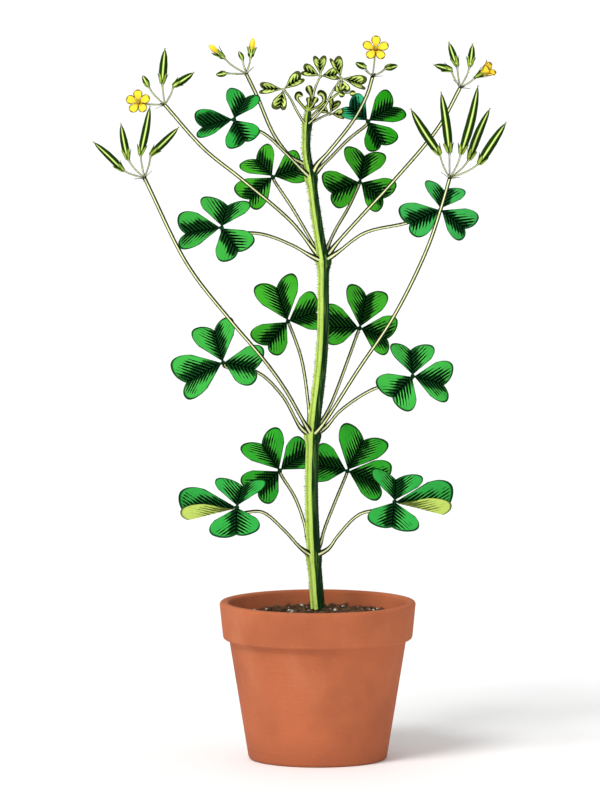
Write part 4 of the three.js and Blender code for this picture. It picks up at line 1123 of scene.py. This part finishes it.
class LeafSettings(bpy.types.PropertyGroup):
    """Sizes and colours of the leaves."""

    thickness: length_setting("Thickness", "Thickness of a leaflet", 0.00032)
    vein_spacing: length_setting("Vein spacing", "Distance between side veins along the middle vein", 0.00145)
    vein_slant: FloatProperty(name="Vein slant", default=0.95, min=0, max=3,
                              description="How far forward a side vein runs for each step sideways")
    vein_depth: length_setting("Vein depth", "Depth of a side vein's furrow", 0.00012)
    rib_depth: length_setting("Middle vein depth", "Depth of the middle vein's furrow", 0.0003)
    doming: length_setting("Doming", "How far each half of a leaflet swells out of its plane", 0.0008)
    low_colour: colour_setting("Lowest leaves", "Lobes of the leaves at the lowest joint", 50, 162, 46)
    second_colour: colour_setting("Second leaves", "Lobes of the leaves at the second joint", 64, 170, 44)
    third_colour: colour_setting("Third leaves", "Lobes of the leaves at the third joint", 62, 164, 38)
    top_colour: colour_setting("Top leaves", "Lobes of the leaves at the fourth joint", 40, 152, 26)
    # Painted highlight on the raised strips of the leaves
    strip_highlight_colour: colour_setting("Strips", "Bright strips between the dark lines", 98, 194, 78)
    teal_colour: colour_setting("Teal leaflets", "Bluer leaflets and front leaves", 54, 170, 116)
    # Dark of the vein lines and of the leaves' painted shade
    vein_and_shade_colour: colour_setting("Dark veins", "Lines beside the veins and the middle of a leaf", 1, 18, 7)
    under_colour: colour_setting("Underside", "Back of a leaf", 208, 234, 112)
    young_colour: colour_setting("Young leaves", "Face of the young leaves", 212, 234, 122)
    # Dark of the young leaves' lines and painted shade, and of the sprouts' furrows and painted shade
    young_vein_and_shade_colour: colour_setting("Young veins", "Lines on the young leaves", 10, 20, 2)
    # The hub is painted dark, as the shade where the leaflets meet
    hub_shade_colour: colour_setting("Hub", "The knob where the leaflets meet", 14, 56, 24)
    stalk_colour: colour_setting("Stalk", "Leaf stalks and spray stalks", 238, 246, 182)
    # Dark of the stalks' furrows and painted shade, and of the leaf back's lines
    stalk_furrow_and_shade_colour: colour_setting("Stalk furrow", "Furrows and streaks of the stalks", 6, 14, 3)


class StemSettings(bpy.types.PropertyGroup):
    """Colours of the stem."""

    stem_colour: colour_setting("Stem", "Ridges of the stem", 192, 222, 104)
    # Dark of the stem's furrows and of its painted shade on the right
    furrow_and_shade_colour: colour_setting("Stem furrow", "Furrows and dark side of the stem", 10, 36, 16)
    # Green that streaks the stem's painted shade
    shade_colour: colour_setting("Stem shade", "Green streaks in the dark side of the stem", 66, 138, 62)
    hair_colour: colour_setting("Hairs", "Fine hairs of the stem and stalks", 26, 40, 16)


class SpraySettings(bpy.types.PropertyGroup):
    """Colours of the flower sprays."""

    pod_colour: colour_setting("Pod", "Seed pods and buds", 104, 158, 46)
    # Painted highlight along the pods' ridges
    ridge_highlight_colour: colour_setting("Pod ridge", "Pale ridges of the pods", 222, 234, 134)
    # Dark of the pods' painted shade in furrows and on the right front, of their points and of the sepal rims
    furrow_and_shade_colour: colour_setting("Pod furrow", "Furrows and points of the pods", 10, 36, 8)
    sepal_colour: colour_setting("Sepal", "Sepals and bracts", 156, 188, 74)
    petal_colour: colour_setting("Petal", "Open petals", 254, 217, 52)
    throat_colour: colour_setting("Throat", "Middle of the flower and lines on the petals", 176, 116, 14)
    rim_colour: colour_setting("Petal rim", "Thin dark rim of the petals", 52, 34, 4)
    anther_colour: colour_setting("Anther", "Tips of the stamens", 238, 150, 26)


class StageSettings(bpy.types.PropertyGroup):
    """Floor, light and camera."""

    floor_colour: colour_setting("Floor", "Pale floor", 253, 253, 253)
    lens: FloatProperty(name="Lens", description="Focal length of the camera",
                        default=400, min=20, unit="CAMERA")
    elevation: FloatProperty(name="Elevation", description="How far the camera looks down",
                             default=math.radians(6), subtype="ANGLE")
    frame_height: length_setting("Frame height", "Height that the picture takes in at the plant", 0.292)
    key_strength: FloatProperty(name="Key light", description="Strength of the light from the left",
                                default=2.15, min=0)
    front_strength: FloatProperty(name="Front light", description="Strength of the light from the front",
                                  default=0.7, min=0)
    sky: FloatProperty(name="Sky", description="Strength of the light from above", default=0.56, min=0)


def aimed(name, data, place, way):
    """Adds a lamp or camera at a place, looking along a way."""
    thing = bpy.data.objects.new(name, data)
    thing.location = place
    thing.rotation_euler = Vector(way).to_track_quat("-Z", "Y").to_euler()
    bpy.context.scene.collection.objects.link(thing)
    return thing


class SORREL_OT_stage(bpy.types.Operator):
    """Make the pale floor, the soft sky and light, and the camera"""

    bl_idname = "sorrel.stage"
    bl_label = "Stage"

    def execute(self, context):
        settings = context.scene.sorrel_stage
        context.scene.view_settings.view_transform = "Standard"
        context.scene.world = self.make_sky(settings)
        self.make_floor(settings)
        self.make_lights(settings)
        context.scene.camera = self.make_camera(settings)
        return {"FINISHED"}

    def make_sky(self, settings):
        """A soft sky that is white all round the horizon."""
        world = bpy.data.worlds.new("soft sky")
        world.use_nodes = True
        tree = world.node_tree
        background = tree.nodes["Background"]
        background.inputs["Color"].default_value = (1, 1, 1, 1)
        direction = Term(tree, add_node(tree, "TexCoord", {}).outputs["Generated"])
        up = abs(Term(tree, add_node(tree, "SeparateXYZ", {0: direction}).outputs["Z"]))
        inputs = {"Value": up, "From Min": 0.1, "From Max": 0.4, "To Min": 1.1, "To Max": settings.sky}
        tree.links.new(add_node(tree, "MapRange", inputs).outputs[0], background.inputs["Strength"])
        return world

    def make_floor(self, settings):
        """A pale round floor that reaches the horizon."""
        out = np.concatenate([[0.001], np.geomspace(0.3, 60, 24)])[:, None]
        angle = np.linspace(0, 2 * np.pi, 49)
        shape = Shape()
        shape.skin(cells(shape.place(layers(out * np.cos(angle), out * np.sin(angle), 0) / MM)))
        colour = settings.floor_colour
        finish = plain_finish("pale floor", colour, deeper(colour, 0.99), 6.0, 0.7, 0.00002)
        shape.build("floor", [finish], 0)

    def make_lights(self, settings):
        """Wide, soft light from the upper left, and weaker light from low in front."""
        lights = (("key", -35, 48, 22, settings.key_strength), ("front", -15, 5, 40, settings.front_strength))
        for name, azimuth, height, width, strength in lights:
            light = bpy.data.lights.new(name, "SUN")
            light.angle, light.energy = math.radians(width), strength
            source = seen_at(azimuth, height)
            aimed(name, light, source * 2, -source)

    def make_camera(self, settings):
        """A long lens that looks slightly down at the middle of the plant from the front."""
        camera = bpy.data.cameras.new("camera")
        camera.lens = settings.lens
        back = seen_at(0, math.degrees(settings.elevation))
        distance = settings.frame_height * settings.lens / camera.sensor_width
        return aimed("camera", camera, np.mean(CAD_BOX, axis=0) + back * distance, -back)


class SORREL_OT_pot(bpy.types.Operator):
    """Make the clay pot"""

    bl_idname = "sorrel.pot"
    bl_label = "Pot"

    def execute(self, context):
        settings = context.scene.sorrel_pot
        settle(build_pot(settings, clay_finish("fired clay", settings)), "terracotta", "pot")
        return {"FINISHED"}


class SORREL_OT_soil(bpy.types.Operator):
    """Make the soil with its crumbs, grit and bark"""

    bl_idname = "sorrel.soil"
    bl_label = "Soil"

    def execute(self, context):
        soil = context.scene.sorrel_soil
        grit, bark = soil.grit_colour, soil.bark_colour
        materials = [
            plain_finish("moist soil", soil.soil_colour, soil.dry_colour, 240, 0.95, 0.0004, 0.2),
            plain_finish("pale grit", grit, deeper(grit, 0.7), 900, 0.8, 0.0001),
            plain_finish("bark", bark, deeper(bark, 0.5), 900, 0.9, 0.0002),
        ]
        settle(build_soil(soil, materials, np.random.default_rng(3)), "soil", "soil")
        return {"FINISHED"}


class SORREL_OT_stem(bpy.types.Operator):
    """Make the main stem with its joints, hairs and sprouts"""

    bl_idname = "sorrel.stem"
    bl_label = "Stem"

    def execute(self, context):
        stem, leaf = context.scene.sorrel_stem, context.scene.sorrel_leaf
        materials = [
            stalk_finish("ribbed stem", stem.stem_colour, stem.furrow_and_shade_colour, 7, 0.4, stem.shade_colour),
            hair_finish("fine hairs", stem),
            stalk_finish("folded sprout", leaf.young_colour, leaf.young_vein_and_shade_colour, furrows=0.92),
        ]
        settle(build_stem(materials, np.random.default_rng(5)), "stem_green", "main_stem")
        return {"FINISHED"}


class SORREL_OT_leaves(bpy.types.Operator):
    """Make the grown leaves and their stalks"""

    bl_idname = "sorrel.leaves"
    bl_label = "Leaves"

    def execute(self, context):
        leaf, stem = context.scene.sorrel_leaf, context.scene.sorrel_stem
        tiers = {"a": ("lowest", leaf.low_colour), "b": ("second", leaf.second_colour),
                 "c": ("third", leaf.third_colour), "d": ("top", leaf.top_colour)}
        faces = {joint: leaf_upper(f"{tier} leaf face", colour, leaf.vein_and_shade_colour, leaf)
                 for joint, (tier, colour) in tiers.items()}
        back = leaf_under("leaf back", leaf)
        # Painted shade: the hub and the leaflets' necks are dark where the leaflets meet
        hub = plain_finish("leaf hub", leaf.hub_shade_colour, deeper(leaf.hub_shade_colour, 0.6), 700, 0.5, 0.00003, 0.02)
        stalk = stalk_finish("leaf stalk", leaf.stalk_colour, leaf.stalk_furrow_and_shade_colour)
        hair = hair_finish("stalk hairs", stem)
        for number, grown in enumerate(LEAVES):
            rng = np.random.default_rng(20 + number)
            shape = Shape()
            add_leaf(shape, grown, LEAFLET_FOLD, leaf, rng, GROWN_HUB, FRONT_TEAL if grown.hub[1] < 0 else 0)
            blade = shape.build(f"{grown.name}_leaflets", [faces[grown.joint], back, hub])
            slot = "deep_leaf_green" if grown.name == "leaf_4_right" else "leaf_green"
            settle(blade, slot, f"{grown.name}_blade")
            settle(build_stalk(grown, [stalk, hair], rng), "stalk_green", f"{grown.name}_stalk")
        return {"FINISHED"}


class SORREL_OT_young_leaves(bpy.types.Operator):
    """Make the young folded leaves round the growing tip"""

    bl_idname = "sorrel.young_leaves"
    bl_label = "Young leaves"

    def execute(self, context):
        leaf = context.scene.sorrel_leaf
        materials = [
            leaf_upper("young leaf face", leaf.young_colour, leaf.young_vein_and_shade_colour, leaf, 0.95, 0.4, 0.82),
            leaf_under("young leaf back", leaf),
            stalk_finish("young stalk", leaf.stalk_colour, leaf.stalk_furrow_and_shade_colour),
        ]
        for number, young in enumerate(YOUNG_LEAVES):
            rng = np.random.default_rng(60 + number)
            shape = Shape()
            add_leaf(shape, young, YOUNG_FOLD, leaf, rng, YOUNG_HUB)
            start = STEM_TIP if young.stalk[0][2] > STEM_TIP[2] else JOINTS["e"].at
            line = smooth_line([start, *young.stalk, young.hub], 0.6)
            shape.tube(line, np.linspace(0.55, 0.36, len(line)), 12, HUB)
            shape.hairs(line, 0.4, 0.25, 0.5, HUB, rng)
            settle(shape.build(f"{young.name}_leaflets", materials), "young_green", young.name)
        return {"FINISHED"}


class SORREL_OT_sprays(bpy.types.Operator):
    """Make the sprays of pods and buds, and their open flowers"""

    bl_idname = "sorrel.sprays"
    bl_label = "Sprays and flowers"

    def execute(self, context):
        scene = context.scene
        leaf, stem, settings = scene.sorrel_leaf, scene.sorrel_stem, scene.sorrel_spray
        greens = [
            stalk_finish("spray stalk", leaf.stalk_colour, leaf.stalk_furrow_and_shade_colour),
            pod_finish("seed pod", settings),
            sepal_finish("sepal", settings),
            hair_finish("spray hairs", stem),
        ]
        anther, filament = settings.anther_colour, leaf.under_colour
        yellows = [
            petal_finish("petal", settings),
            plain_finish("anther", anther, deeper(anther, 0.7), 2000, 0.7, 0.00002),
            plain_finish("filament", filament, filament, 800, 0.5, 0.00001),
        ]
        for number, spray in enumerate(SPRAYS):
            rng = np.random.default_rng(80 + number)
            settle(build_spray(spray, greens, rng), "pod_green", spray.name)
            if spray.flower:
                settle(build_flower(spray, yellows, rng), "petal_yellow", f"{spray.name}_flower")
            for i, pod in enumerate(pod for pod in spray.pods if pod.petals):
                piece = build_bud_petals(f"{spray.name}_bud_{i + 1}_tip", pod, yellows[PETAL])
                settle(piece, "petal_yellow", f"{spray.name}_bud_petals_{i + 1}")
        return {"FINISHED"}


OPERATORS = (SORREL_OT_stage, SORREL_OT_pot, SORREL_OT_soil, SORREL_OT_stem, SORREL_OT_leaves,
             SORREL_OT_young_leaves, SORREL_OT_sprays)
SETTINGS = {
    "sorrel_pot": PotSettings,
    "sorrel_soil": SoilSettings,
    "sorrel_leaf": LeafSettings,
    "sorrel_stem": StemSettings,
    "sorrel_spray": SpraySettings,
    "sorrel_stage": StageSettings,
}


class SORREL_PT_panel(bpy.types.Panel):
    """Lists what builds the plant"""

    bl_idname = "SORREL_PT_panel"
    bl_label = "Yellow wood sorrel"
    bl_space_type = "VIEW_3D"
    bl_region_type = "UI"
    bl_category = "Sorrel"

    def draw(self, context):
        for operator in OPERATORS:
            self.layout.operator(operator.bl_idname)
        for settings in SETTINGS:
            group = getattr(context.scene, settings)
            for name in group.__annotations__:
                self.layout.prop(group, name)


CLASSES = (*SETTINGS.values(), *OPERATORS, SORREL_PT_panel)


def register():
    for one in CLASSES:
        bpy.utils.register_class(one)
    for name, group in SETTINGS.items():
        setattr(bpy.types.Scene, name, PointerProperty(type=group))


def unregister():
    for name in SETTINGS:
        delattr(bpy.types.Scene, name)
    for one in reversed(CLASSES):
        bpy.utils.unregister_class(one)


def main():
    register()
    bpy.ops.sorrel.stage()
    bpy.ops.sorrel.pot()
    bpy.ops.sorrel.soil()
    bpy.ops.sorrel.stem()
    bpy.ops.sorrel.leaves()
    bpy.ops.sorrel.young_leaves()
    bpy.ops.sorrel.sprays()


if __name__ == "__main__":
    main()
